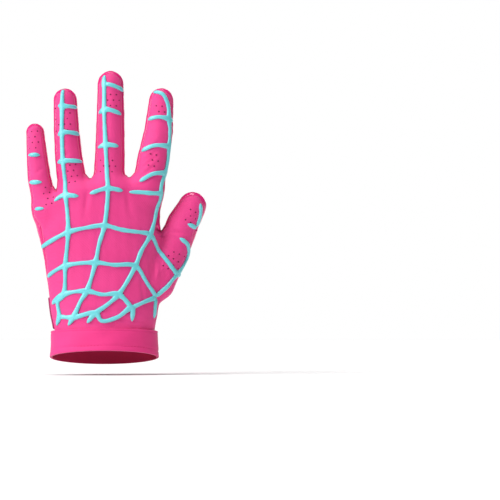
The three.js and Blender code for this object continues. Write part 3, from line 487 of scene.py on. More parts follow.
class HandSurface:
    """The glove's surface: points found by rays, which its two panels share along their seams.

    Columns run from the little finger's outer seam to the thumb's, a finger wide each, first up the palm in
    rows, then over the webs in bridge rows, then round each finger in loops up to its tip. POLE_TILT is how
    far a tip's last point leans to the back, WEB_LIFT and THUMB_WEB how far webs lie to the palm, as shares
    of a finger's half width and of the thumb's reach, and WRIST_CORE where the wrist's rays start, as a
    share of its width.
    """

    POLE_TILT = math.radians(35)
    WEB_LIFT = -0.35
    START_ABOVE_WEB = 2.8
    THUMB_WEB = 0.4
    SADDLE_DEPTH = 14.0
    WEB_STEP = 0.1
    WRIST_CORE = 0.3

    def __init__(self, form: Form, density: Density):
        """Args:
        form: the worn hand's form.
        density: how finely it is meshed.
        """
        self.form, self.s, self.d = form, form.s, density
        self.k, self.half = density.columns, density.columns / 2
        self.rays: dict[Key, Ray] = {}
        self.fixed: dict[Key, np.ndarray] = {}
        self.faces: dict[Side, list[tuple[Key, ...]]] = {Side.BACK: [], Side.PALM: []}
        self.bottom = self.s.cuff_height - self.s.tuck
        self.webs = self._find_webs()
        self.crotch = self.webs[3][2] - self.s.web_drop
        little, index = form.chains["little"].joints[0][0], form.chains["index"].joints[0][0]
        self.finger_shares = [(web[0] - little) / (index - little) for web in self.webs[:3]]
        _, hand_end, thumb_end, _ = self._hand_ends(self.crotch, 0.0)
        self.thumb_share = (self.webs[3][0] - hand_end) / (thumb_end - hand_end)
        self.rows_below = round((self.crotch - self.bottom) / density.step)
        self.rows_above = round((self.webs[1][2] - self.s.web_drop - self.webs[3][2]) / density.step)
        self.top_row = self.rows_below + density.bridge + self.rows_above
        for side in Side:
            self._add_hand(side)
            for index, name in enumerate((*FINGER_NAMES, "thumb")):
                self._add_finger(side, name, index)
        self._solve()

    def _find_webs(self) -> list[np.ndarray]:
        chains, s = self.form.chains, self.s

        def crotch(left: Callable[[float], float], right: Callable[[float], float], y: float, top: float):
            z = np.arange(top, self.bottom, -self.WEB_STEP)
            x = np.array([(left(h) + right(h)) / 2 for h in z])
            p = np.stack([x, np.full(len(z), y), z], axis=1)
            return p[int(np.argmax(self.form.distance(p) <= 0))]

        def edge(name: str, sign: int) -> Callable[[float], float]:
            def at(z: float) -> float:
                centre, radius = chains[name].at_height(z)
                return centre[0] + sign * radius

            return at

        webs = []
        for left, right in zip(FINGER_NAMES, FINGER_NAMES[1:]):
            top = min(chains[left].joints[2][2], chains[right].joints[2][2])
            webs.append(crotch(edge(left, 1), edge(right, -1), self.WEB_LIFT * s.finger_width / 2, top))

        def thumb_edge(z: float) -> float:
            centre, radius = chains["thumb"].at_height(z)
            return centre[0] - radius / math.cos(math.radians(THUMB.lean[1]))

        def hand_edge(z: float) -> float:
            return float(self.form.palm.read("radial", z))

        top = chains["thumb"].joints[2][2]
        webs.append(crotch(hand_edge, thumb_edge, self.THUMB_WEB * s.thumb_forward, top))
        return webs

    def tilt(self, z: float) -> float:
        """Returns the tilt of the level rings near the cuff, in radians."""
        share = z / self.s.cuff_height
        if share < 1:
            return math.radians(mix(self.s.rim_tilt, self.s.cuff_top_tilt, share))
        return math.radians(self.s.cuff_top_tilt * max(2 - share, 0))

    @staticmethod
    def direction(angle: float, tilt: float = 0.0) -> np.ndarray:
        """Returns a direction round the hand: 0 is to the thumb, a quarter turn to the back."""
        y = -math.sin(angle)
        return np.array([math.cos(angle), y * math.cos(tilt), -y * math.sin(tilt)])

    @staticmethod
    def column_angle(side: Side, share: float, turn: float) -> float:
        """Returns the angle of a share of the way between the seams, on the back or the palm's side."""
        end = turn if side is Side.BACK else 2 * math.pi + turn
        return mix(math.pi - turn, end, share)

    def seam_turn(self, z: float) -> float:
        """Returns how far the seams lie to the back at a height, in radians."""
        t = float(smoothstep(z, 0.3 * self.s.palm_length, 0.85 * self.s.palm_length))
        return math.radians(mix(self.s.wrist_seam_turn, self.s.seam_turn, t))

    def notch_half_angle(self, z: float) -> float:
        """Returns half the notch's opening at a height, in radians."""
        share = (self.s.cuff_height + self.s.notch_length - z) / self.s.notch_length
        return self.s.notch_width / self.s.wrist_depth * min(share, 1) ** 0.8 if share > 0 else 0.0

    def _crown_height(self, column: float) -> float:
        chains, drop = self.form.chains, self.s.web_drop
        webs = [web[2] - drop for web in self.webs[:3]]
        stops = [chains["little"].joints[0][2] - drop, *webs, chains["index"].joints[0][2]]
        i = min(int(column / self.k), 3)
        return mix(stops[i], stops[i + 1], column / self.k - i)

    def _column_x(self, stops: Sequence[float], column: float, columns: int) -> float:
        held = min(max(column, self.half), columns - self.half)
        x = mix(stops[0], stops[1], min((held - self.half) / self.half, 1))
        for i in range(1, len(stops) - 1):
            width = self.half if i == len(stops) - 2 else self.k
            if held > i * self.k:
                x = mix(stops[i], stops[i + 1], min((held - i * self.k) / width, 1))
        return x

    def _column_fan(self, side: Side, column: float, columns: int, turn: float) -> float:
        if column < self.half:
            return self.column_angle(side, (column + 1) / (self.k + 2), turn)
        if column > columns - self.half:
            return self.column_angle(side, 1 - (columns - column + 1) / (self.k + 2), turn)
        return math.pi / 2 if side is Side.BACK else 1.5 * math.pi

    def _hand_ends(self, z: float, climb: float) -> tuple[float, float, float, np.ndarray]:
        """Returns both ends of the hand's flat middle, the end of the thumb's part, and its centre."""
        palm, chains = self.form.palm, self.form.chains
        half_depth = float(palm.read("depth", z)) / 2
        ulnar_edge = float(palm.read("ulnar", z)) + half_depth
        radial_edge = float(palm.read("radial", z)) - half_depth
        thumb = chains["thumb"].at_height(z)[0]
        ulnar_end = mix(ulnar_edge, chains["little"].joints[0][0], climb)
        hand_end = mix(radial_edge, chains["index"].joints[0][0], climb)
        return ulnar_end, hand_end, max(thumb[0], radial_edge), thumb

    def hand_ray(self, side: Side, column: float, z: float, above: float = 0.0, climb: float = 0.0) -> Ray:
        """Returns the ray of a column at a height.

        Args:
            side: the panel that the ray's point is on.
            column: its column, from -1 at the little finger's seam.
            z: its height.
            above: 0 where the row runs on into the thumb and 1 where it ends at the hand's own edge.
            climb: 0 at the thumb's crotch and 1 at the row under the fingers.
        """
        ulnar_end, hand_end, thumb_end, thumb = self._hand_ends(z, climb)
        web_x = [mix(ulnar_end, hand_end, share) for share in self.finger_shares]
        web_x.append(mix(hand_end, thumb_end, self.thumb_share))
        turn = self.seam_turn(z)
        low, high = 5 * self.k, 4 * self.k
        x = self._column_x([ulnar_end, *web_x, thumb_end], column, low)
        angle = self._column_fan(side, column, low, turn)
        if above > 0:
            x = mix(x, self._column_x([ulnar_end, *web_x[:3], hand_end], column, high), above)
            angle = mix(angle, self._column_fan(side, column, high, turn), above)
        spread = float(smoothstep(z, self.bottom, 0.5 * self.s.palm_length))
        wrist_angle = self.column_angle(side, (column + 1) / (low + 2), turn)
        x = mix(self.WRIST_CORE * self.s.wrist_width * math.cos(wrist_angle), x, spread)
        to_thumb = (1 - above) * min(max((column - high) / self.half, 0), 1)
        y = spread * mix(float(self.form.middle(np.array(min(x, hand_end)), z)), thumb[1], to_thumb)
        angle = mix(wrist_angle, angle, spread)
        shift = self.notch_half_angle(z) * max(1 - (column + 1) / (self.k + 1), 0)
        angle += -shift if side is Side.BACK else shift
        return np.array([x, y, z]), self.direction(angle, self.tilt(z))

    def _row_state(self, column: float, row: int) -> tuple[float, float, float]:
        start, bridge = self.rows_below, self.d.bridge
        top = self.webs[3][2] + self.START_ABOVE_WEB
        if row <= start:
            return mix(self.bottom, self.crotch, row / start), 0.0, 0.0
        if row <= start + bridge:
            share = (row - start) / (bridge + 1)
            return mix(self.crotch, top, share), share, 0.0
        climb = (row - start - bridge) / self.rows_above
        held = min(max(column, 0), 4 * self.k)
        return mix(top, self._crown_height(held), climb), 1.0, climb

    def _put(self, key: Key, ray: Callable[[], Ray]) -> Key:
        if key not in self.rays and key not in self.fixed:
            self.rays[key] = ray()
        return key

    def _web(self, index: int) -> Key:
        self.fixed[("web", index)] = self.webs[index]
        return ("web", index)

    def _saddle(self, index: int, side: Side, j: int) -> Key:
        """A point on the ridge over a web, from the crown row of one side to the web's own point."""
        if j >= self.d.bridge:
            return self._web(index)
        key = ("saddle", index, side, j)

        def ray() -> Ray:
            row = self.rows_below if index == 3 else self.top_row
            column = 4 * self.k if index == 3 else (index + 1) * self.k
            base = self._hand(side, column, row)
            crown = self.form.cast(*[part[None] for part in self.rays[base]])[0]
            web = self.webs[index]
            x, y, _ = mix(crown, web, j / self.d.bridge)
            return np.array([x, y, web[2] - self.SADDLE_DEPTH]), np.array([0.0, 0.0, 1.0])

        return self._put(key, ray)

    def _hand(self, side: Side, column: int, row: int) -> Key:
        bridge_row = row - self.rows_below
        high = 4 * self.k
        if 0 < bridge_row <= self.d.bridge and column >= high:
            return self._saddle(3, side, bridge_row)
        z, above, climb = self._row_state(column, row)
        last = 5 * self.k if bridge_row <= 0 else high
        seam = column < 0 or column > last
        split = column < 0 and self.notch_half_angle(z) > 0
        name = side if split or not seam else "seam"
        source = side if split or not seam else Side.BACK
        return self._put(("hand", name, column, row), lambda: self.hand_ray(source, column, z, above, climb))

    def _quad(self, side: Side, *corners: Key) -> None:
        ring = corners if side is Side.BACK else corners[::-1]
        kept = tuple(key for i, key in enumerate(ring) if key != ring[(i + 1) % 4])
        if len(kept) > 2:
            self.faces[side].append(kept)

    def _add_hand(self, side: Side) -> None:
        for row in range(self.top_row):
            columns = 5 * self.k if row < self.rows_below else 4 * self.k
            for column in range(-1, columns + 1):
                if row == self.rows_below and column + 1 > columns:
                    continue
                corners = ((column, row), (column + 1, row), (column + 1, row + 1), (column, row + 1))
                self._quad(side, *(self._hand(side, *corner) for corner in corners))

    def _add_finger(self, side: Side, name: str, index: int) -> None:
        chain, k, bridge = self.form.chains[name], self.k, self.d.bridge
        is_thumb = name == "thumb"
        left = 3 if is_thumb else index - 1
        right = -1 if is_thumb or index == 3 else index
        start = max(self.webs[i][2] for i in (left, right) if i >= 0) + self.START_ABOVE_WEB
        lowest = chain.at_height(start)[0]
        first = 1 - np.linalg.norm(lowest - chain.joints[3]) / chain.total
        rows = round((1 - first) * chain.total / self.d.step)
        base_column = 4 * k if is_thumb else index * k
        base_row = self.rows_below if is_thumb else self.top_row

        def tube_ray(column: int, row: int) -> Ray:
            seam = column < 0 or column > k
            source = Side.BACK if seam else side
            angle = self.column_angle(source, (column + 1) / (k + 2), math.radians(self.s.seam_turn))
            centre, _, axis = chain.along(mix(first, 1, min(row / rows, 1)))
            aside = unit(np.cross([0, 1, 0], axis))
            back = -np.cross(aside, axis)
            flat = aside * math.cos(angle) - back * math.sin(angle)
            if row <= rows:
                return centre, flat
            pole = axis * math.cos(self.POLE_TILT) - back * math.sin(self.POLE_TILT)
            over = (row - rows) / self.d.cap * math.pi / 2
            return centre, unit(flat * math.cos(over) + pole * math.sin(over))

        def tube(column: int, row: int) -> Key:
            if row >= rows + self.d.cap:
                return self._put((name, "tip"), lambda: tube_ray(0, row))
            seam = column < 0 or column > k
            return self._put((name, "seam" if seam else side, column, row), lambda: tube_ray(column, row))

        def base_ray(column: int) -> Ray:
            z, above, climb = self._row_state(base_column + column, base_row)
            seam = column < 0 or column > k
            return self.hand_ray(Side.BACK if seam else side, base_column + column, z, above, climb)

        def loop(column: int, j: int) -> Key:
            web = left if column <= 0 else right if column >= k else -1
            if web >= 0:
                column = min(max(column, 0), k)
            if j == 0:
                return self._hand(side, base_column + column, base_row)
            if web >= 0:
                return self._saddle(web, side, j)
            seam = column < 0 or column > k

            def ray() -> Ray:
                t = j / (bridge + 1)
                (o0, d0), (o1, d1) = base_ray(column), tube_ray(column, 0)
                return mix(o0, o1, t), unit(mix(d0, d1, t))

            return self._put((name, "bridge", "seam" if seam else side, column, j), ray)

        def strip(grid: Callable[[int, int], Key], column: int, row: int) -> None:
            low, high = (column, column + 1), (column + 1, column)
            self._quad(side, *(grid(c, row) for c in low), *(grid(c, row + 1) for c in high))

        for column in range(-1, k + 1):
            for j in range(bridge):
                strip(loop, column, j)
            ends = (tube(column + 1, 0), tube(column, 0))
            self._quad(side, loop(column, bridge), loop(column + 1, bridge), *ends)
            for row in range(rows + self.d.cap):
                strip(tube, column, row)

    def _solve(self) -> None:
        keys = list(self.rays)
        origin = np.array([self.rays[key][0] for key in keys])
        direction = np.array([self.rays[key][1] for key in keys])
        found = self.form.cast(origin, direction)
        self.number = {key: i for i, key in enumerate([*keys, *self.fixed])}
        self.points = np.concatenate([found, np.array(list(self.fixed.values()))])
        self.normals = self.form.outward(self.points)


@dataclass
class PanelSkin:
    """One panel's outer skin: points, outward directions, faces and its open edges, in millimetres."""

    points: np.ndarray
    normals: np.ndarray
    faces: list[tuple[int, ...]]
    edges: list[tuple[int, int]]


def panel_skin(surface: HandSurface, side: Side) -> PanelSkin:
    """Returns a panel of the surface, with its edges drawn back from the seam.

    Args:
        surface: the whole glove's surface.
        side: the panel.
    """
    used = sorted({surface.number[key] for face in surface.faces[side] for key in face})
    place = {old: new for new, old in enumerate(used)}
    faces = [tuple(place[surface.number[key]] for key in face) for face in surface.faces[side]]
    points, normals = surface.points[used], surface.normals[used]
    once: dict[tuple[int, int], bool] = {}
    for face in faces:
        for a, b in zip(face, (*face[1:], face[0])):
            if (b, a) in once:
                del once[(b, a)]
            else:
                once[(a, b)] = True
    edges = list(once)
    pull = np.zeros_like(points)
    for a, b in edges:
        run = unit(points[b] - points[a])
        for end in (a, b):
            pull[end] += np.cross(normals[end], run)
    border = sorted({i for edge in edges for i in edge})
    points = points.copy()
    points[border] += unit(pull[border]) * surface.s.gap / 2
    return PanelSkin(points, normals, faces, edges)


# Finishes


class Weave(Enum):
    """The small-scale surface of a finish."""

    KNIT = "knit"
    COATED = "coated"
    MOULDED = "moulded"
    WEBBING = "webbing"
    PLAIN = "plain"


@dataclass(frozen=True)
class Finish:
    """A surface's look: its colours as sRGB hex, its gloss, and its weave with that weave's period in mm."""

    name: str
    colour: str
    shade: str
    roughness: float
    weave: Weave = Weave.PLAIN
    period: float = 1.0
    bump: float = 0.1
    sheen: float = 0.0
    coat: float = 0.0


KNIT = Finish("back knit", "#ee3f90", "#e02c7e", 0.7, Weave.KNIT, 1.0, 0.28, sheen=0.12)
CUFF_KNIT = Finish("cuff knit", "#ec2f86", "#e02579", 0.7, Weave.KNIT, 0.8, 0.2, sheen=0.15)
# The lining is the same pink cloth as the outside; its darker pinks are painted shade of the glove's hollow
# inside.
SHADED_LINING = Finish("lining", "#cc1250", "#b40c44", 0.85, Weave.KNIT, 1.0, 0.1)
COATING = Finish("palm coating", "#ee0f80", "#dd0b74", 0.3, Weave.COATED, 2.4, 0.12, coat=0.5)
RIB = Finish("silicone rib", "#78d9df", "#5cc6cd", 0.34, Weave.MOULDED, 2.0, 0.06, coat=0.25)
STRAP = Finish("strap webbing", "#20b4b9", "#139ba0", 0.62, Weave.WEBBING, 1.3, 0.35, sheen=0.1)
TAB = Finish("closing tab", "#2fc3c8", "#1fb0b5", 0.4, Weave.MOULDED, 1.5, 0.06, coat=0.15)
# Painted shade: a dark band on the tab's end, standing for the shadow of the step where the tab lies on the
# strap.
TAB_END_SHADE = Finish("tab's end", "#0c5f6b", "#094a54", 0.5)
TAPE = Finish("binding tape", "#a81d64", "#8f1452", 0.7, Weave.WEBBING, 0.9, 0.25)
THREAD = Finish("thread", "#d8266f", "#d8266f", 0.95)
COATING_THREAD = Finish("palm thread", "#d80b70", "#d80b70", 0.5)
STRAP_THREAD = Finish("strap thread", "#7fe3e6", "#7fe3e6", 0.5)

# All finishes' coat, their slow change of colour and their bumps, as waves in a metre and metres high.
COAT_ROUGHNESS = 0.18
TINT_SCALE = 45.0
WAVE_SCALE = 0.314
BUMP_HEIGHT = 0.4 * MM


def linear(hex_colour: str) -> tuple[float, float, float, float]:
    """Returns an sRGB hex colour as linear values with full alpha."""
    parts = [int(hex_colour[i : i + 2], 16) / 255 for i in (1, 3, 5)]
    lit = [c / 12.92 if c <= 0.04045 else ((c + 0.055) / 1.055) ** 2.4 for c in parts]
    return (*lit, 1.0)


def add_node(tree: bpy.types.NodeTree, kind: str, inputs: dict | None = None, **settings) -> bpy.types.Node:
    """Adds a node to a tree.

    Args:
        tree: the node tree.
        kind: the node's type.
        inputs: values or output sockets by input name or number.
        settings: the node's own settings.
    """
    node = tree.nodes.new(kind)
    for key, value in settings.items():
        setattr(node, key, value)
    for key, value in (inputs or {}).items():
        if isinstance(value, bpy.types.NodeSocket):
            tree.links.new(value, node.inputs[key])
        else:
            node.inputs[key].default_value = value
    return node


def weave_height(
    tree: bpy.types.NodeTree, finish: Finish, place: bpy.types.NodeSocket
) -> bpy.types.NodeSocket:
    """Returns the height pattern of a finish's weave."""
    per_metre = 1 / (finish.period * MM)
    inputs = {"Vector": place, "Scale": per_metre, "Detail": 2.0}
    fine = add_node(tree, "ShaderNodeTexNoise", inputs).outputs["Fac"]
    if finish.weave not in (Weave.KNIT, Weave.WEBBING):
        return fine
    inputs = {"Vector": place, "Scale": WAVE_SCALE * per_metre}
    bent = {**inputs, "Distortion": 0.6}
    rows = add_node(tree, "ShaderNodeTexWave", bent, bands_direction="Z").outputs["Fac"]
    across = "X" if finish.weave is Weave.WEBBING else "DIAGONAL"
    lines = add_node(tree, "ShaderNodeTexWave", inputs, bands_direction=across).outputs["Fac"]
    product = add_node(tree, "ShaderNodeMath", {0: rows, 1: lines}, operation="MULTIPLY")
    return add_node(tree, "ShaderNodeMath", {0: product.outputs[0], 1: fine}, operation="ADD").outputs[0]


def make_material(finish: Finish) -> bpy.types.Material:
    """Returns the procedural material of a finish, made once for each."""
    found = bpy.data.materials.get(finish.name)
    if found:
        return found
    material = bpy.data.materials.new(finish.name)
    material.use_nodes = True
    tree = material.node_tree
    shader = tree.nodes["Principled BSDF"]
    place = add_node(tree, "ShaderNodeTexCoord").outputs["Object"]
    broad = add_node(tree, "ShaderNodeTexNoise", {"Vector": place, "Scale": TINT_SCALE, "Detail": 3.0})
    colour = add_node(tree, "ShaderNodeMix", {"Factor": broad.outputs["Fac"]}, data_type="RGBA")
    colour.inputs["A"].default_value = linear(finish.colour)
    colour.inputs["B"].default_value = linear(finish.shade)
    tree.links.new(colour.outputs["Result"], shader.inputs["Base Color"])
    shader.inputs["Roughness"].default_value = finish.roughness
    shader.inputs["Sheen Weight"].default_value = finish.sheen
    shader.inputs["Coat Weight"].default_value = finish.coat
    shader.inputs["Coat Roughness"].default_value = COAT_ROUGHNESS
    if finish.weave is not Weave.PLAIN:
        height = weave_height(tree, finish, place)
        inputs = {"Height": height, "Strength": finish.bump, "Distance": BUMP_HEIGHT}
        bump = add_node(tree, "ShaderNodeBump", inputs)
        tree.links.new(bump.outputs["Normal"], shader.inputs["Normal"])
    return material


# Meshes


def make_object(
    name: str,
    points: np.ndarray,
    faces: Sequence[Sequence[int]],
    finishes: Sequence[Finish],
    slots: Sequence[int] | None = None,
) -> bpy.types.Object:
    """Makes a smooth-shaded mesh object at the origin.

    Args:
        name: its name.
        points: its vertices, in millimetres.
        faces: its faces, facing outwards.
        finishes: its materials' finishes.
        slots: each face's finish by number, or None where there is only one.
    """
    mesh = bpy.data.meshes.new(name)
    mesh.from_pydata((np.asarray(points) * MM).tolist(), [], [list(face) for face in faces])
    for finish in finishes:
        mesh.materials.append(make_material(finish))
    if slots is not None:
        mesh.polygons.foreach_set("material_index", np.array(slots, np.int32))
    mesh.validate()
    mesh.shade_smooth()
    mesh.update()
    made = bpy.data.objects.new(name, mesh)
    bpy.context.scene.collection.objects.link(made)
    return made


def baked(obj: bpy.types.Object) -> bpy.types.Object:
    """Replaces an object's mesh by what its modifiers make of it, and takes the modifiers off."""
    depsgraph = bpy.context.evaluated_depsgraph_get()
    mesh = bpy.data.meshes.new_from_object(obj.evaluated_get(depsgraph))
    obj.modifiers.clear()
    obj.data = mesh
    return obj


def place_piece(obj: bpy.types.Object, slot: str, *nodes: str) -> None:
    """Lets a piece ride on the glove and stand for the named nodes."""
    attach(obj, BODY)
    if nodes:
        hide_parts(*nodes)


def near_distance(points: np.ndarray, marks: np.ndarray) -> np.ndarray:
    """Returns each point's distance from the nearest mark."""
    nearest = np.full(len(points), np.inf)
    for start in range(0, len(marks), 400):
        off = points[:, None, :] - marks[None, start : start + 400, :]
        nearest = np.minimum(nearest, np.linalg.norm(off, axis=2).min(axis=1))
    return nearest


@dataclass(frozen=True)
class PanelSpec:
    """How one panel is made: node, side, wall, finish, slot, and its sewn edge's depth and reach, in mm."""

    node: str
    side: Side
    wall: float
    finish: Finish
    slot: str
    seam_depth: float = 0.55
    seam_reach: float = 1.5


class Panel:
    """One of the glove's two sewn panels, a closed shell with a lining on its inside.

    In mm, RIDGE is the raised line beside the seam (place, breadth, height), SLACK the cloth's slow waves,
    SLACK_FROM how far from the seam waves and wrinkles set in, and HEM_CLEAR how far above the cuff
    stitches start.
    """

    RIDGE = (3.2, 1.1, 0.25)
    SLACK = 0.12
    SLACK_FROM = (0.5, 5.0)
    HEM_CLEAR = 1.5

    def __init__(self, spec: PanelSpec, surface: HandSurface):
        """Args:
        spec: how it is made.
        surface: the whole glove's surface.
        """
        self.spec, self.surface, self.form = spec, surface, surface.form
        self.skin = panel_skin(surface, spec.side)

    def relief(self) -> np.ndarray:
        """Returns how far each point is moved along its outward direction, in millimetres."""
        p = self.skin.points
        border = sorted({i for edge in self.skin.edges for i in edge})
        away = near_distance(p, p[border])
        seam = rise(away, 0.0, self.spec.seam_reach, -self.spec.seam_depth) + rise(away, *self.RIDGE)
        wrinkles = -self.form.fold_depth(p, WRINKLES) + self.SLACK * self._cloth(p)
        return seam + wrinkles * smoothstep(away, *self.SLACK_FROM)

    @staticmethod
    def _cloth(p: np.ndarray) -> np.ndarray:
        x, _, z = p.T
        slow = np.sin(0.42 * x + 0.21 * z) * np.sin(0.19 * z - 0.3 * x + 1.3)
        return slow + 0.5 * np.sin(0.8 * z + 0.5 * x)

    def build(self) -> bpy.types.Object:
        """Makes the panel's shell."""
        skin = self.skin
        outer = skin.points + skin.normals * self.relief()[:, None]
        inner = skin.points - skin.normals * self.spec.wall
        count = len(outer)
        faces = [*skin.faces]
        faces += [tuple(i + count for i in reversed(face)) for face in skin.faces]
        faces += [(b, a, a + count, b + count) for a, b in skin.edges]
        # The inner faces take the lining, whose darker colour is painted shade of the hollow.
        slots = [0] * len(skin.faces) + [1] * len(skin.faces) + [0] * len(skin.edges)
        points, finishes = np.concatenate([outer, inner]), [self.spec.finish, SHADED_LINING]
        made = make_object(self.spec.node + "_cloth", points, faces, finishes, slots)
        place_piece(made, self.spec.slot, self.spec.node)
        return made

    def seam_points(self, inset: float) -> tuple[np.ndarray, np.ndarray, np.ndarray]:
        """Returns points beside the panel's edge, the edge's direction there and the outward direction."""
        skin = self.skin
        a, b = np.array(skin.edges).T
        middle, run = (skin.points[a] + skin.points[b]) / 2, unit(skin.points[b] - skin.points[a])
        out = unit(skin.normals[a] + skin.normals[b])
        spots = self.form.settle(middle - np.cross(out, run) * inset)
        above = spots[:, 2] > self.surface.s.cuff_height + self.HEM_CLEAR
        return spots[above], run[above], self.form.outward(spots)[above]


# Ribs


@dataclass(frozen=True)
class Strand:
    """A rib's stops: first those on a finger, as shares along and aside, then those on the hand, in half palm
    widths and palm lengths."""

    on: str | None = None
    stops: tuple[tuple[float, float], ...] = ()
    then: tuple[tuple[float, float], ...] = ()


WEB_RIBS: tuple[Strand, ...] = (
    Strand("ring", ((1.11, -0.11), (0.92, -0.28), (0.62, -0.37), (0.31, -0.45), (0.05, -0.47)),
           ((-0.58, 0.948), (-0.54, 0.755), (-0.58, 0.549), (-0.61, 0.369), (-0.69, 0.331),
            (-0.67, 0.241), (-0.71, 0.185))),
    Strand("ring", ((0.93, -0.67), (0.92, -0.1), (0.9, 0.95))),
    Strand("ring", ((0.6, -0.73), (0.63, -0.3), (0.59, 0.95))),
    Strand("ring", ((0.31, -0.86), (0.32, -0.37), (0.28, 0.9))),
    Strand(then=((-0.76, 0.916), (-0.64, 0.948), (-0.38, 0.948))),
    Strand("middle", ((1.1, -0.58), (0.9, -0.47), (0.69, -0.44), (0.4, -0.3), (0.1, -0.13)),
           ((0.05, 0.986), (0, 0.774), (-0.08, 0.665), (-0.13, 0.562), (-0.26, 0.389), (-0.35, 0.331),
            (-0.46, 0.235), (-0.54, 0.185))),
    Strand("middle", ((0.99, -0.5), (0.97, 0.2), (0.92, 0.95))),
    Strand("middle", ((0.7, -0.86), (0.74, -0.37), (0.69, 0.78))),
    Strand("middle", ((0.37, -0.83), (0.4, -0.3), (0.39, 0.61))),
    Strand(then=((-0.23, 0.961), (0.03, 0.993), (0.28, 0.98))),
    Strand("index", ((1.08, -0.81), (1.05, 0.11), (0.93, 0.56), (0.79, 0.66), (0.52, 0.84),
                     (0.24, 0.9), (0.06, 0.8)),
           ((0.82, 0.92), (0.69, 0.729), (0.55, 0.626), (0.46, 0.537), (0.21, 0.369), (0.03, 0.305),
            (-0.13, 0.26), (-0.26, 0.2))),
    Strand("index", ((0.76, -0.87), (0.8, -0.08), (0.77, 0.95))),
    Strand("index", ((0.39, -0.83), (0.47, -0.22), (0.51, 0.95))),
    Strand("index", ((0.06, -0.62), (0.17, 0.12), (0.22, 0.92))),
    Strand(then=((0.36, 0.973), (0.88, 0.973))),
    Strand(then=((-0.94, 0.646), (-0.54, 0.735), (-0.26, 0.761), (0, 0.774), (0.26, 0.749), (0.69, 0.729))),
    Strand(then=((0.69, 0.729), (0.85, 0.614), (1.05, 0.511), (1.17, 0.478))),
    Strand(then=((-0.85, 0.472), (-0.59, 0.537), (-0.13, 0.556), (0.13, 0.543), (0.46, 0.537),
                 (0.62, 0.447), (0.77, 0.357))),
    Strand(then=((-0.78, 0.312), (-0.61, 0.369), (-0.26, 0.389), (-0.04, 0.369), (0.21, 0.369),
                 (0.41, 0.292))),
    Strand(then=((0.41, 0.292), (0.59, 0.325), (0.78, 0.357))),
    Strand(then=((-0.67, 0.241), (-0.46, 0.235), (-0.13, 0.26), (-0.04, 0.215), (0.19, 0.235),
                 (0.41, 0.292), (0.41, 0.209))),
    Strand(then=((0.77, 0.357), (0.74, 0.228))),
    Strand("thumb", ((0.58, 0.1), (0.53, 0.75), (0.4, 0.97), (0.27, 0.9), (0.13, 0.75)), ((0.77, 0.357),)),
)
RIB_NODES: dict[str, tuple[Strand, ...]] = {
    "web_ribs": WEB_RIBS,
    "thumb_rib": (
        Strand("thumb", ((1.06, 0.38), (0.94, 0.75), (0.79, 0.85))),
        Strand("thumb", ((0.77, 0.24), (0.78, 0.88))),
    ),
    "little_bar_1": (Strand("little", ((0.71, -0.85), (0.69, 0.34))),),
    "little_bar_2": (Strand("little", ((0.38, -0.9), (0.34, 0.17))),),
    "little_bar_3": (Strand("little", ((0.03, -0.9), (0.01, -0.1))),),
}


def smooth_path(stops: np.ndarray, step: float) -> np.ndarray:
    """Returns points a step apart on a centripetal curve through the stops."""
    if len(stops) == 2:
        stops = np.array([stops[0], (stops[0] + stops[1]) / 2, stops[1]])
    ends = np.concatenate([[2 * stops[0] - stops[1]], stops, [2 * stops[-1] - stops[-2]]])
    path = []
    for p0, p1, p2, p3 in zip(ends, ends[1:], ends[2:], ends[3:]):
        k = [max(math.sqrt(np.linalg.norm(b - a)), 1e-6) for a, b in ((p0, p1), (p1, p2), (p2, p3))]
        m1 = (p1 - p0) / k[0] - (p2 - p0) / (k[0] + k[1]) + (p2 - p1) / k[1]
        m2 = (p2 - p1) / k[1] - (p3 - p1) / (k[1] + k[2]) + (p3 - p2) / k[2]
        m1, m2 = m1 * k[1], m2 * k[1]
        steps = max(int(np.linalg.norm(p2 - p1) / step), 1)
        for t in np.arange(steps) / steps:
            t2, t3 = t * t, t**3
            here = (2 * t3 - 3 * t2 + 1) * p1 + (t3 - 2 * t2 + t) * m1
            path.append(here + (3 * t2 - 2 * t3) * p2 + (t3 - t2) * m2)
    path.append(stops[-1])
    return np.array(path)


@dataclass(frozen=True)
class BeadShape:
    """A bead's section, in mm: its width, how far it stands out and roots, its step along the path, how far
    its ends taper and how thin they get as a share."""

    width: float = 3.3
    height: float = 1.5
    root: float = 0.7
    step: float = 1.1
    sides: int = 16
    taper: float = 4.0
    end: float = 0.5


def sweep_bead(
    form: Form, path: np.ndarray, shape: BeadShape, widen: np.ndarray | float = 1.0
) -> tuple[np.ndarray, list[tuple[int, ...]]]:
    """Returns a bead's points and faces, swept along a path on the form.

    Args:
        form: the worn hand's form.
        path: points on its surface.
        shape: the bead's section.
        widen: each point's width as a share of the bead's own.
    """
    up = form.outward(path)
    ahead = unit(np.gradient(path, axis=0))
    aside = unit(np.cross(ahead, up))
    gone = np.concatenate([[0.0], np.cumsum(np.linalg.norm(np.diff(path, axis=0), axis=1))])
    to_end = np.minimum(gone, gone[-1] - gone)
    cap = np.sqrt(np.clip(1 - (1 - np.clip(to_end / (shape.width / 2), 0, 1)) ** 2, 0.02, 1))
    full = cap * mix(shape.end, 1.0, smoothstep(to_end, 0, shape.taper))
    angle = np.linspace(0, 2 * math.pi, shape.sides, endpoint=False)
    flank, top = np.cos(angle), np.sin(angle)
    across = np.sign(flank) * np.abs(flank) ** 0.8 * shape.width / 2
    lift = np.where(top > 0, np.abs(top) ** 0.75 * shape.height, top * shape.root)
    points = (
        path[:, None, :]
        + aside[:, None, :] * (across[None, :] * (full * widen)[:, None])[:, :, None]
        + up[:, None, :] * (lift[None, :] * full[:, None])[:, :, None]
    ).reshape(-1, 3)
    n, rows = shape.sides, len(path)
    ring = [(i, (i + 1) % n, n + (i + 1) % n, n + i) for i in range(n)]
    faces = [tuple(r * n + i for i in face) for r in range(rows - 1) for face in ring]
    faces += [tuple(reversed(range(n))), tuple((rows - 1) * n + i for i in range(n))]
    return points, faces


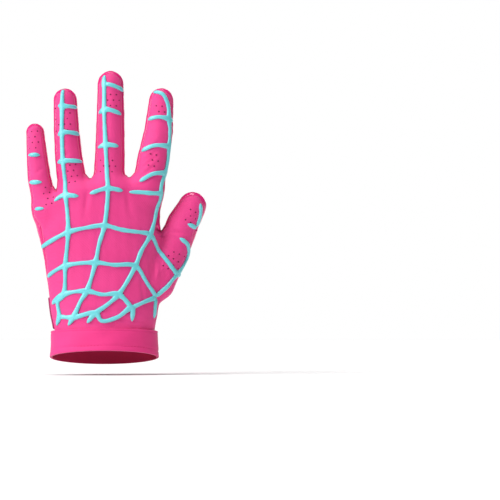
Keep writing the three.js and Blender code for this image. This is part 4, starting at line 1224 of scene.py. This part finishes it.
class Ribs:
    """The raised silicone ribs on the back."""

    VOXEL = 0.34
    SWELL = 0.4
    SWELL_REACH = 3.6

    def __init__(self, form: Form, shape: BeadShape):
        """Args:
        form: the worn hand's form.
        shape: the ribs' section.
        """
        self.form, self.shape = form, shape

    def path(self, strand: Strand) -> np.ndarray:
        """Returns a strand's points on the surface."""
        s, spots = self.form.s, []
        for along, aside in strand.stops:
            centre, radius, axis = self.form.chains[strand.on].along(along)
            side = unit(np.cross([0, 1, 0], axis))
            spots.append((centre + side * aside * radius)[[0, 2]])
        spots += [np.array([x * s.palm_width / 2, z * s.palm_length]) for x, z in strand.then]
        flat = np.array(spots)
        stops = self.form.on_side(flat[:, 0], flat[:, 1])
        return self.form.settle(smooth_path(stops, self.shape.step))

    def _widening(self, path: np.ndarray, others: Sequence[np.ndarray]) -> np.ndarray:
        """Returns how much wider the rib is at each point: it swells to where another rib meets it."""
        x, _, z = path.T
        uneven = 1 + 0.07 * np.sin(0.31 * x + 0.23 * z) + 0.05 * np.sin(0.9 * z - 0.7 * x)
        if not others:
            return uneven
        away = near_distance(path, np.concatenate(others))
        return uneven + rise(away, 0.0, self.SWELL_REACH, self.SWELL)

    def build(self, node: str, strands: Sequence[Strand]) -> bpy.types.Object:
        """Makes one node's ribs as a single moulded body."""
        points, faces = [], []
        paths = [self.path(strand) for strand in strands]
        for number, path in enumerate(paths):
            widening = self._widening(path, paths[:number] + paths[number + 1 :])
            p, f = sweep_bead(self.form, path, self.shape, widening)
            base = sum(len(q) for q in points)
            points.append(p)
            faces += [tuple(i + base for i in face) for face in f]
        made = make_object(node + "_moulded", np.concatenate(points), faces, [RIB])
        remesh = made.modifiers.new("fuse", "REMESH")
        remesh.mode = "VOXEL"
        remesh.voxel_size = self.VOXEL * MM
        remesh.use_smooth_shade = True
        soften = made.modifiers.new("soften", "SMOOTH")
        soften.factor, soften.iterations = 0.5, 3
        baked(made)
        made.data.materials.clear()
        made.data.materials.append(make_material(RIB))
        made.data.shade_smooth()
        place_piece(made, "silicone_ribs", node)
        return made


# Cuff, strap and tab

# The bands' mean radius as a share of the mouth's width.
BAND_RADIUS = 0.42


@dataclass(frozen=True)
class BandSpec:
    """A band round the wrist: levels outside the form and heights in mm, its arc in degrees, its edges, the
    finish that lines it by number, and how far its top leans in, in mm."""

    inner: float
    outer: float
    low: float
    high: float
    start: float = 0.0
    end: float = 360.0
    around: int = 220
    rows: int = 26
    rounding: float = 0.7
    lining: int = 0
    tuck: float = 0.0


Relief = Callable[[np.ndarray, np.ndarray], np.ndarray]


class Band:
    """A closed band on the form, with rounded edges and a relief on its outside."""

    def __init__(self, surface: HandSurface, spec: BandSpec):
        """Args:
        surface: the glove's surface, for its tilted rings.
        spec: the band's sizes.
        """
        self.surface, self.form, self.spec = surface, surface.form, spec

    def spots(self, angle: np.ndarray, height: np.ndarray, level: np.ndarray) -> np.ndarray:
        """Returns points at angles in degrees, heights and levels outside the form."""
        aim, tilt = self.surface.direction, self.surface.tilt
        direction = np.array([aim(math.radians(a), tilt(z)) for a, z in zip(angle, height)])
        origin = np.stack([np.zeros_like(height), np.zeros_like(height), height], axis=1)
        base = self.form.cast(origin, direction)
        return base + direction * level[:, None]

    def build(
        self, name: str, finishes: Sequence[Finish], relief: Relief, pick: Callable | None = None
    ) -> bpy.types.Object:
        """Makes the band.

        Args:
            name: the piece's name.
            finishes: its finishes.
            relief: the extra height at shares u round and v up the band, in mm.
            pick: which finish a face at u, v has.
        """
        s = self.spec
        whole = s.end - s.start >= 360
        count = s.around if whole else s.around + 1
        u = np.arange(count) / s.around
        if not whole:
            u = (1 - np.cos(np.pi * u)) / 2 * 0.5 + u * 0.5
        v = (1 - np.cos(np.pi * np.arange(s.rows + 1) / s.rows)) / 2
        uu, vv = (grid.ravel() for grid in np.meshgrid(u, v))
        length = math.radians(s.end - s.start) * BAND_RADIUS * self.form.s.mouth_width
        to_edge = np.minimum(vv, 1 - vv) * (s.high - s.low)
        if not whole:
            to_edge = np.minimum(to_edge, np.minimum(uu, 1 - uu) * length)
        drop = 1 - np.clip(to_edge / s.rounding, 0, 1)
        level = s.outer - s.rounding * (1 - np.sqrt(1 - drop**2)) * 0.8 + relief(uu, vv)
        angle, height = mix(s.start, s.end, uu), mix(s.low, s.high, vv)
        inside = s.inner - s.tuck * smoothstep(vv, 0.6, 0.95)
        points = np.concatenate([self.spots(angle, height, level), self.spots(angle, height, inside)])
        skin, faces, slots = count * (s.rows + 1), [], []
        for row in range(s.rows):
            for i in range(s.around):
                a, b = row * count + i, row * count + (i + 1) % count
                faces.append((a, a + count, b + count, b))
                slots.append(pick(uu[a], vv[a]) if pick else 0)
                faces.append((a + skin, b + skin, b + count + skin, a + count + skin))
                slots.append(s.lining)
        for i in range(s.around):
            a, b, top = i, (i + 1) % count, s.rows * count
            faces += [(a, b, b + skin, a + skin), (top + b, top + a, top + a + skin, top + b + skin)]
            slots += [0, 0]
        if not whole:
            for row in range(s.rows):
                a, b = row * count, (row + 1) * count
                c, d = a + count - 1, b + count - 1
                faces += [(a, a + skin, b + skin, b), (d, d + skin, c + skin, c)]
                slots += [0, 0]
        return make_object(name, points, faces, finishes, slots)


# Repeated details, scattered by Geometry Nodes


@dataclass(frozen=True)
class Bead:
    """A small repeated body: half a stitch or a dark dot of painted hole shade, in mm."""

    radius: float
    length: float
    flat: float = 1.0


def scatter(
    name: str, spots: np.ndarray, along: np.ndarray, out: np.ndarray, bead: Bead, finish: Finish
) -> bpy.types.Object:
    """Sets one small body on every spot, turned along its line and outwards.

    Args:
        name: the piece's name.
        spots: the places, in millimetres.
        along: each body's long direction.
        out: each body's outward direction.
        bead: the body's sizes.
        finish: its finish.
    """
    mesh = bpy.data.meshes.new(name)
    mesh.from_pydata((spots * MM).tolist(), [], [])
    for key, vectors in (("along", along), ("out", out)):
        layer = mesh.attributes.new(key, "FLOAT_VECTOR", "POINT")
        layer.data.foreach_set("vector", np.asarray(vectors, np.float32).ravel())
    made = bpy.data.objects.new(name, mesh)
    bpy.context.scene.collection.objects.link(made)
    tree = bpy.data.node_groups.new(name + "_nodes", "GeometryNodeTree")
    for way in ("INPUT", "OUTPUT"):
        tree.interface.new_socket("Geometry", in_out=way, socket_type="NodeSocketGeometry")
    source = tree.nodes.new("NodeGroupInput")
    ball = add_node(tree, "GeometryNodeMeshUVSphere", {"Segments": 10, "Rings": 6, "Radius": 1.0})
    scale = (bead.length / 2 * MM, bead.radius * MM, bead.radius * bead.flat * MM)
    shaped = add_node(tree, "GeometryNodeTransform", {"Geometry": ball.outputs["Mesh"], "Scale": scale})
    read, align = "GeometryNodeInputNamedAttribute", "FunctionNodeAlignRotationToVector"
    vector = {}
    for key in ("along", "out"):
        vector[key] = add_node(tree, read, {"Name": key}, data_type="FLOAT_VECTOR").outputs["Attribute"]
    upright = add_node(tree, align, {"Vector": vector["out"]}, axis="Z").outputs["Rotation"]
    inputs = {"Rotation": upright, "Vector": vector["along"]}
    turn = add_node(tree, align, inputs, axis="X", pivot_axis="Z").outputs["Rotation"]
    inputs = {"Points": source.outputs["Geometry"], "Instance": shaped.outputs["Geometry"], "Rotation": turn}
    placed = add_node(tree, "GeometryNodeInstanceOnPoints", inputs)
    real = add_node(tree, "GeometryNodeRealizeInstances", {"Geometry": placed.outputs["Instances"]})
    smooth = add_node(tree, "GeometryNodeSetShadeSmooth", {"Geometry": real.outputs["Geometry"]})
    coloured = add_node(tree, "GeometryNodeSetMaterial", {"Geometry": smooth.outputs["Geometry"]})
    coloured.inputs["Material"].default_value = make_material(finish)
    sink = tree.nodes.new("NodeGroupOutput")
    tree.links.new(coloured.outputs["Geometry"], sink.inputs["Geometry"])
    made.modifiers.new("scatter", "NODES").node_group = tree
    baked(made)
    for key in ("along", "out"):
        if key in made.data.attributes:
            made.data.attributes.remove(made.data.attributes[key])
    return made


def spaced(points: np.ndarray, pitch: float) -> tuple[np.ndarray, np.ndarray]:
    """Returns points a pitch apart along a line of points, and the line's direction at each."""
    gone = np.concatenate([[0.0], np.cumsum(np.linalg.norm(np.diff(points, axis=0), axis=1))])
    at, reach = np.arange(pitch / 2, gone[-1], pitch), 0.3

    def spot(place: np.ndarray) -> np.ndarray:
        return np.stack([np.interp(place, gone, points[:, i]) for i in range(3)], axis=1)

    return spot(at), unit(spot(at + reach) - spot(at - reach))


# Painted shade: the dark colour of the air holes, which are dots on the surface and not cut through.
HOLE_SHADE = Finish("painted_hole_shade", "#7a0a40", "#680735", 0.9)


@dataclass(frozen=True)
class HoleGroup:
    """A staggered group of air holes on a finger's back: its middle as shares along and aside, its rows and
    its columns."""

    chain: str
    along: float
    aside: float
    rows: int
    columns: int


HOLE_GROUPS: tuple[HoleGroup, ...] = (
    HoleGroup("little", 0.9, -0.2, 4, 2),
    HoleGroup("little", 0.16, 0.45, 4, 2),
    HoleGroup("ring", 0.78, -0.25, 5, 3),
    HoleGroup("ring", 0.17, 0.1, 4, 2),
    HoleGroup("middle", 0.83, 0.1, 3, 3),
    HoleGroup("middle", 0.2, -0.1, 3, 3),
    HoleGroup("index", 0.86, 0.2, 3, 3),
    HoleGroup("index", 0.32, 0.05, 3, 2),
    HoleGroup("thumb", 0.3, 0.35, 4, 3),
    HoleGroup("thumb", 0.87, 0.3, 3, 2),
)


class Perforations:
    """Small air holes in staggered groups on the fingers' backs, drawn as dark dots of painted shade rather
    than cut through, in mm; STAGGER is a share of PITCH.
    """

    PITCH = 4.4
    STAGGER = 0.25
    LIFT = 0.02
    BEAD = Bead(0.62, 1.24, 0.3)

    def __init__(self, form: Form, groups: Sequence[HoleGroup]):
        """Args:
        form: the worn hand's form.
        groups: the groups of holes.
        """
        self.form, self.groups = form, groups

    def build(self) -> bpy.types.Object:
        """Makes all the holes as dark dots: the shade inside each hole, painted on the surface."""
        spots, along = [], []
        for group in self.groups:
            chain = self.form.chains[group.chain]
            for row in range(group.rows):
                for column in range(group.columns):
                    up = (row - (group.rows - 1) / 2) * self.PITCH
                    stagger = self.STAGGER if row % 2 else -self.STAGGER
                    over = (column - (group.columns - 1) / 2 + stagger) * self.PITCH
                    centre, radius, axis = chain.along(group.along + up / chain.total)
                    side = unit(np.cross([0, 1, 0], axis))
                    spots.append(centre + side * (group.aside * radius + over))
                    along.append(axis)
        flat = np.array(spots)
        p = self.form.on_side(flat[:, 0], flat[:, 2])
        out = self.form.outward(p)
        made = scatter("air_hole_shade_dots", p + out * self.LIFT, np.array(along), out, self.BEAD, HOLE_SHADE)
        place_piece(made, "knit")
        return made


# Light and camera


@dataclass(frozen=True)
class Sun:
    """A wide soft light: the direction that it comes from, its spread in degrees and its strength."""

    name: str
    towards: tuple[float, float, float]
    spread: float
    strength: float


@dataclass(frozen=True)
class StudioSpec:
    """The photographer's room: places and sizes in metres, the lens in mm, the strength of the backdrop and
    of the light that it gives, and the lamps."""

    floor: float = -0.0135
    camera: tuple[float, float, float] = (0.01, -1.8, 0.02)
    aim: tuple[float, float, float] = (0.1122, 0.0, 0.0828)
    lens: float = 168.0
    backdrop: float = 1.0
    ambient: float = 0.2
    floor_size: float = 6.0
    suns: tuple[Sun, ...] = (
        Sun("key", (-0.8, -0.5, 0.5), 48, 2.8),
        Sun("top", (-0.1, -0.16, 1.0), 30, 1.5),
        Sun("rim", (0.35, 0.9, 0.35), 30, 0.6),
    )


class Studio:
    """A white room with soft light from above on the left."""

    def __init__(self, spec: StudioSpec):
        """Args:
        spec: places and strengths.
        """
        self.spec = spec

    def _floor(self) -> None:
        size, z = self.spec.floor_size, self.spec.floor
        mesh = bpy.data.meshes.new("floor")
        corners = [(-size, -size, z), (size, -size, z), (size, size, z), (-size, size, z)]
        mesh.from_pydata(corners, [], [(0, 1, 2, 3)])
        material = bpy.data.materials.new("floor paper")
        material.use_nodes = True
        shader = material.node_tree.nodes["Principled BSDF"]
        shader.inputs["Base Color"].default_value = linear("#fafafa")
        shader.inputs["Roughness"].default_value = 0.95
        shader.inputs["Specular IOR Level"].default_value = 0.0
        mesh.materials.append(material)
        floor = bpy.data.objects.new("floor", mesh)
        bpy.context.scene.collection.objects.link(floor)

    @staticmethod
    def _lamp(sun: Sun) -> None:
        data = bpy.data.lights.new(sun.name, "SUN")
        data.angle, data.energy = math.radians(sun.spread), sun.strength
        lamp = bpy.data.objects.new(sun.name, data)
        lamp.location = sun.towards
        lamp.rotation_euler = (-Vector(sun.towards)).to_track_quat("-Z", "Y").to_euler()
        bpy.context.scene.collection.objects.link(lamp)

    def _world(self) -> None:
        world = bpy.data.worlds.new("room")
        world.use_nodes = True
        tree = world.node_tree
        backdrop = tree.nodes["Background"]
        backdrop.inputs["Color"].default_value = (1, 1, 1, 1)
        seen = add_node(tree, "ShaderNodeLightPath").outputs["Is Camera Ray"]
        strength = add_node(tree, "ShaderNodeMix", {"Factor": seen}, data_type="FLOAT")
        strength.inputs["A"].default_value = self.spec.ambient
        strength.inputs["B"].default_value = self.spec.backdrop
        tree.links.new(strength.outputs["Result"], backdrop.inputs["Strength"])
        bpy.context.scene.world = world

    def build(self) -> None:
        """Sets up floor, world, lights and camera."""
        self._floor()
        self._world()
        for sun in self.spec.suns:
            self._lamp(sun)
        data = bpy.data.cameras.new("camera")
        data.lens, data.sensor_width = self.spec.lens, 36.0
        camera = bpy.data.objects.new("camera", data)
        camera.location = self.spec.camera
        sight = Vector(self.spec.aim) - Vector(self.spec.camera)
        camera.rotation_euler = sight.to_track_quat("-Z", "Y").to_euler()
        bpy.context.scene.collection.objects.link(camera)
        bpy.context.scene.camera = camera
        bpy.context.scene.view_settings.view_transform = "Standard"


@dataclass(frozen=True)
class CuffSizes:
    """The cuff's pieces: levels outside the form, heights, lengths and depths in mm, arcs in degrees, and
    thread rows as shares up their band."""

    tuck: float = 0.8
    strap_levels: tuple[float, float] = (3.05, 4.45)
    strap_heights: tuple[float, float] = (3.0, 20.0)
    strap_arc: tuple[float, float] = (190.0, 350.0)
    tab_levels: tuple[float, float] = (4.75, 6.05)
    tab_heights: tuple[float, float] = (3.8, 19.2)
    tab_start: float = 196.0
    tab_length: float = 27.0
    # The share of the tab's length at its end that is painted dark as the step's shade.
    shaded_tab_end: float = 0.06
    rounding: float = 0.6
    hem_row: float = 0.23
    hem_sink: float = 0.42
    strap_row: float = 0.118
    strap_sink: float = 0.2
    stitch_pitch: float = 2.6
    row_points: int = 240
    tape_rise: float = 0.9
    tape_aside: float = 2.2


class Cuff:
    """The wristband with its strap, closing tab and the tape round the notch.

    Grooves are given by their place, breadth and height, and reliefs and frames in mm. RIB_COUNT and WAVES
    are counts round the cuff, RIBBED_FROM is a share up it, and WEBBING_TURNS is in radians along the
    strap.
    """

    GROOVES = ((4.6, 0.6, -0.5), (18.2, 0.5, -0.35))
    RIBBING = 0.03
    RIB_COUNT = 120
    RIBBED_FROM = (0.2, 0.3)
    SLACK = 0.22
    WAVES = 5
    STRAP_GROOVE = (2.0, 0.4, -0.22)
    WEBBING = 0.04
    WEBBING_TURNS = 220
    TAB_SINK = 0.3
    TAB_FRAME = (1.5, 2.1)
    STITCH = Bead(0.2, 1.7, 0.7)
    TAPE_SHAPE = BeadShape(width=2.4, height=1.1, root=0.7, step=0.8, sides=12, taper=1.2)

    def __init__(self, surface: HandSurface, sizes: CuffSizes):
        """Args:
        surface: the glove's surface.
        sizes: the pieces' sizes.
        """
        self.surface, self.form, self.s, self.sizes = surface, surface.form, surface.s, sizes

    def build(self) -> None:
        """Makes all of the cuff's pieces."""
        s, c = self.s, self.sizes
        outer = s.cuff_fit + s.cuff_wall
        cuff = Band(self.surface, BandSpec(s.cuff_fit, outer, 0.0, s.cuff_height, lining=1, tuck=c.tuck))
        # The cuff's inside takes the lining, darkened as painted shade of the hollow.
        made = cuff.build("cuff_cloth", [CUFF_KNIT, SHADED_LINING], self._cuff_relief)
        place_piece(made, "cuff_knit", "cuff_band")
        spec = BandSpec(*c.strap_levels, *c.strap_heights, *c.strap_arc, 150, 22, c.rounding)
        strap = Band(self.surface, spec)
        place_piece(strap.build("strap_webbing", [STRAP], self._strap_relief), "strap_webbing", "wrist_strap")
        tab_turn = math.degrees(c.tab_length / (BAND_RADIUS * s.mouth_width))
        arc = (c.tab_start, c.tab_start + tab_turn)
        tab = Band(self.surface, BandSpec(*c.tab_levels, *c.tab_heights, *arc, 70, 34, c.rounding))
        # The faces at the tab's end take the dark finish, painted shade of the step onto the strap.
        made = tab.build("tab_plate", [TAB, TAB_END_SHADE], self._tab_relief, lambda u, v: int(u < c.shaded_tab_end))
        place_piece(made, "moulded_tab", "closure_tab")
        self._thread_row("hem_stitches", cuff, THREAD, "cuff_knit", (c.hem_row,), c.hem_sink)
        rows = (c.strap_row, 1 - c.strap_row)
        self._thread_row("strap_stitches", strap, STRAP_THREAD, "strap_webbing", rows, c.strap_sink)
        self._tape()

    def _cuff_relief(self, u: np.ndarray, v: np.ndarray) -> np.ndarray:
        """Returns the hem's and the top's grooves, the knit's ribbing and the cloth's soft waves."""
        turn = 2 * math.pi * u
        grooves = sum(rise(v * self.s.cuff_height, *groove) for groove in self.GROOVES)
        ribbed = self.RIBBING * np.sin(self.RIB_COUNT * turn) * smoothstep(v, *self.RIBBED_FROM)
        soft = self.SLACK * np.sin(self.WAVES * turn + 1.4 * math.pi * v) * np.sin(math.pi * v)
        return grooves + ribbed + soft

    def _strap_relief(self, u: np.ndarray, v: np.ndarray) -> np.ndarray:
        """Returns the groove beside the strap's edges and the webbing's ribs."""
        low, high = self.sizes.strap_heights
        edge = np.minimum(v, 1 - v) * (high - low)
        return rise(edge, *self.STRAP_GROOVE) + self.WEBBING * np.sin(u * self.WEBBING_TURNS)

    def _tab_relief(self, u: np.ndarray, v: np.ndarray) -> np.ndarray:
        """Returns the tab's sunk middle inside its frame."""
        low, high = self.sizes.tab_heights
        edge = np.minimum(np.minimum(u, 1 - u) * self.sizes.tab_length, np.minimum(v, 1 - v) * (high - low))
        return -self.TAB_SINK * smoothstep(edge, *self.TAB_FRAME)

    def _thread_row(
        self, name: str, band: Band, thread: Finish, slot: str, shares: Sequence[float], sink: float
    ) -> None:
        """Sews rows along a band.

        Args:
            name: the piece's name.
            band: the band.
            thread: the thread's finish.
            slot: the piece's slot, which is not used.
            shares: how far up the band each row lies.
            sink: how deep the rows lie, in mm.
        """
        spec, lines = band.spec, []
        for share in shares:
            angle = np.linspace(spec.start, spec.end, self.sizes.row_points)
            height = np.full(len(angle), mix(spec.low, spec.high, share))
            spots = band.spots(angle, height, np.full(len(angle), spec.outer - sink))
            lines.append(spaced(spots, self.sizes.stitch_pitch))
        spots, along = (np.concatenate(parts) for parts in zip(*lines))
        place_piece(scatter(name, spots, along, self.form.outward(spots), self.STITCH, thread), slot)

    def _tape(self) -> None:
        """Makes the tape round the notch."""
        s, shape = self.s, self.TAPE_SHAPE
        top = s.cuff_height + s.notch_length
        heights = np.arange(s.cuff_height + self.sizes.tape_rise, top, shape.step)
        sides = []
        for side, sign in ((Side.BACK, -1), (Side.PALM, 1)):
            rays = []
            for z in heights:
                origin, _ = self.surface.hand_ray(side, -1, z)
                opening = self.surface.notch_half_angle(z) + self.sizes.tape_aside / s.wrist_depth
                angle = math.pi - self.surface.seam_turn(z) + sign * opening
                rays.append((origin, self.surface.direction(angle, self.surface.tilt(z))))
            sides.append(self.form.cast(*(np.array(part) for part in zip(*rays))))
        path, _ = spaced(np.concatenate([sides[0], sides[1][::-1]]), shape.step)
        points, faces = sweep_bead(self.form, self.form.settle(path), shape)
        place_piece(make_object("notch_tape", points, faces, [TAPE]), "binding", "notch_binding")


class SeamStitches:
    """Rows of stitches beside the panels' seams; sizes are in mm."""

    PITCH = 2.6
    INSET = 2.6
    LIFT = -0.09
    BEAD = Bead(0.16, 1.5, 0.5)

    def __init__(self, panels: Sequence[Panel]):
        """Args:
        panels: the sewn panels.
        """
        self.panels = panels

    def build(self) -> None:
        """Makes one row for each panel."""
        for panel in self.panels:
            spots, run, out = panel.seam_points(self.INSET)
            keep, last = [], np.full(3, np.inf)
            for i, spot in enumerate(spots):
                if not keep or np.linalg.norm(spot - last) > self.PITCH:
                    keep.append(i)
                    last = spot
            thread = THREAD if panel.spec.side is Side.BACK else COATING_THREAD
            lifted = spots[keep] + out[keep] * self.LIFT
            made = scatter(panel.spec.node + "_stitches", lifted, run[keep], out[keep], self.BEAD, thread)
            place_piece(made, panel.spec.slot)


def main() -> None:
    """Builds the glove, its room and its camera."""
    logging.basicConfig(level=logging.INFO, format="%(message)s")
    form = Form(SIZES)
    surface = HandSurface(form, Density())
    LOG.info("surface: %d points", len(surface.points))
    panels = [
        Panel(PanelSpec("back_panel", Side.BACK, SIZES.back_wall, KNIT, "knit"), surface),
        Panel(PanelSpec("palm_panel", Side.PALM, SIZES.palm_wall, COATING, "coating"), surface),
    ]
    for panel in panels:
        made = panel.build()
        LOG.info("%s: %d faces", made.name, len(made.data.polygons))
    ribs = Ribs(form, BeadShape())
    for node, strands in RIB_NODES.items():
        made = ribs.build(node, strands)
        LOG.info("%s: %d faces", made.name, len(made.data.polygons))
    Cuff(surface, CuffSizes()).build()
    Perforations(form, HOLE_GROUPS).build()
    SeamStitches(panels).build()
    Studio(StudioSpec()).build()


if __name__ == "__main__":
    main()
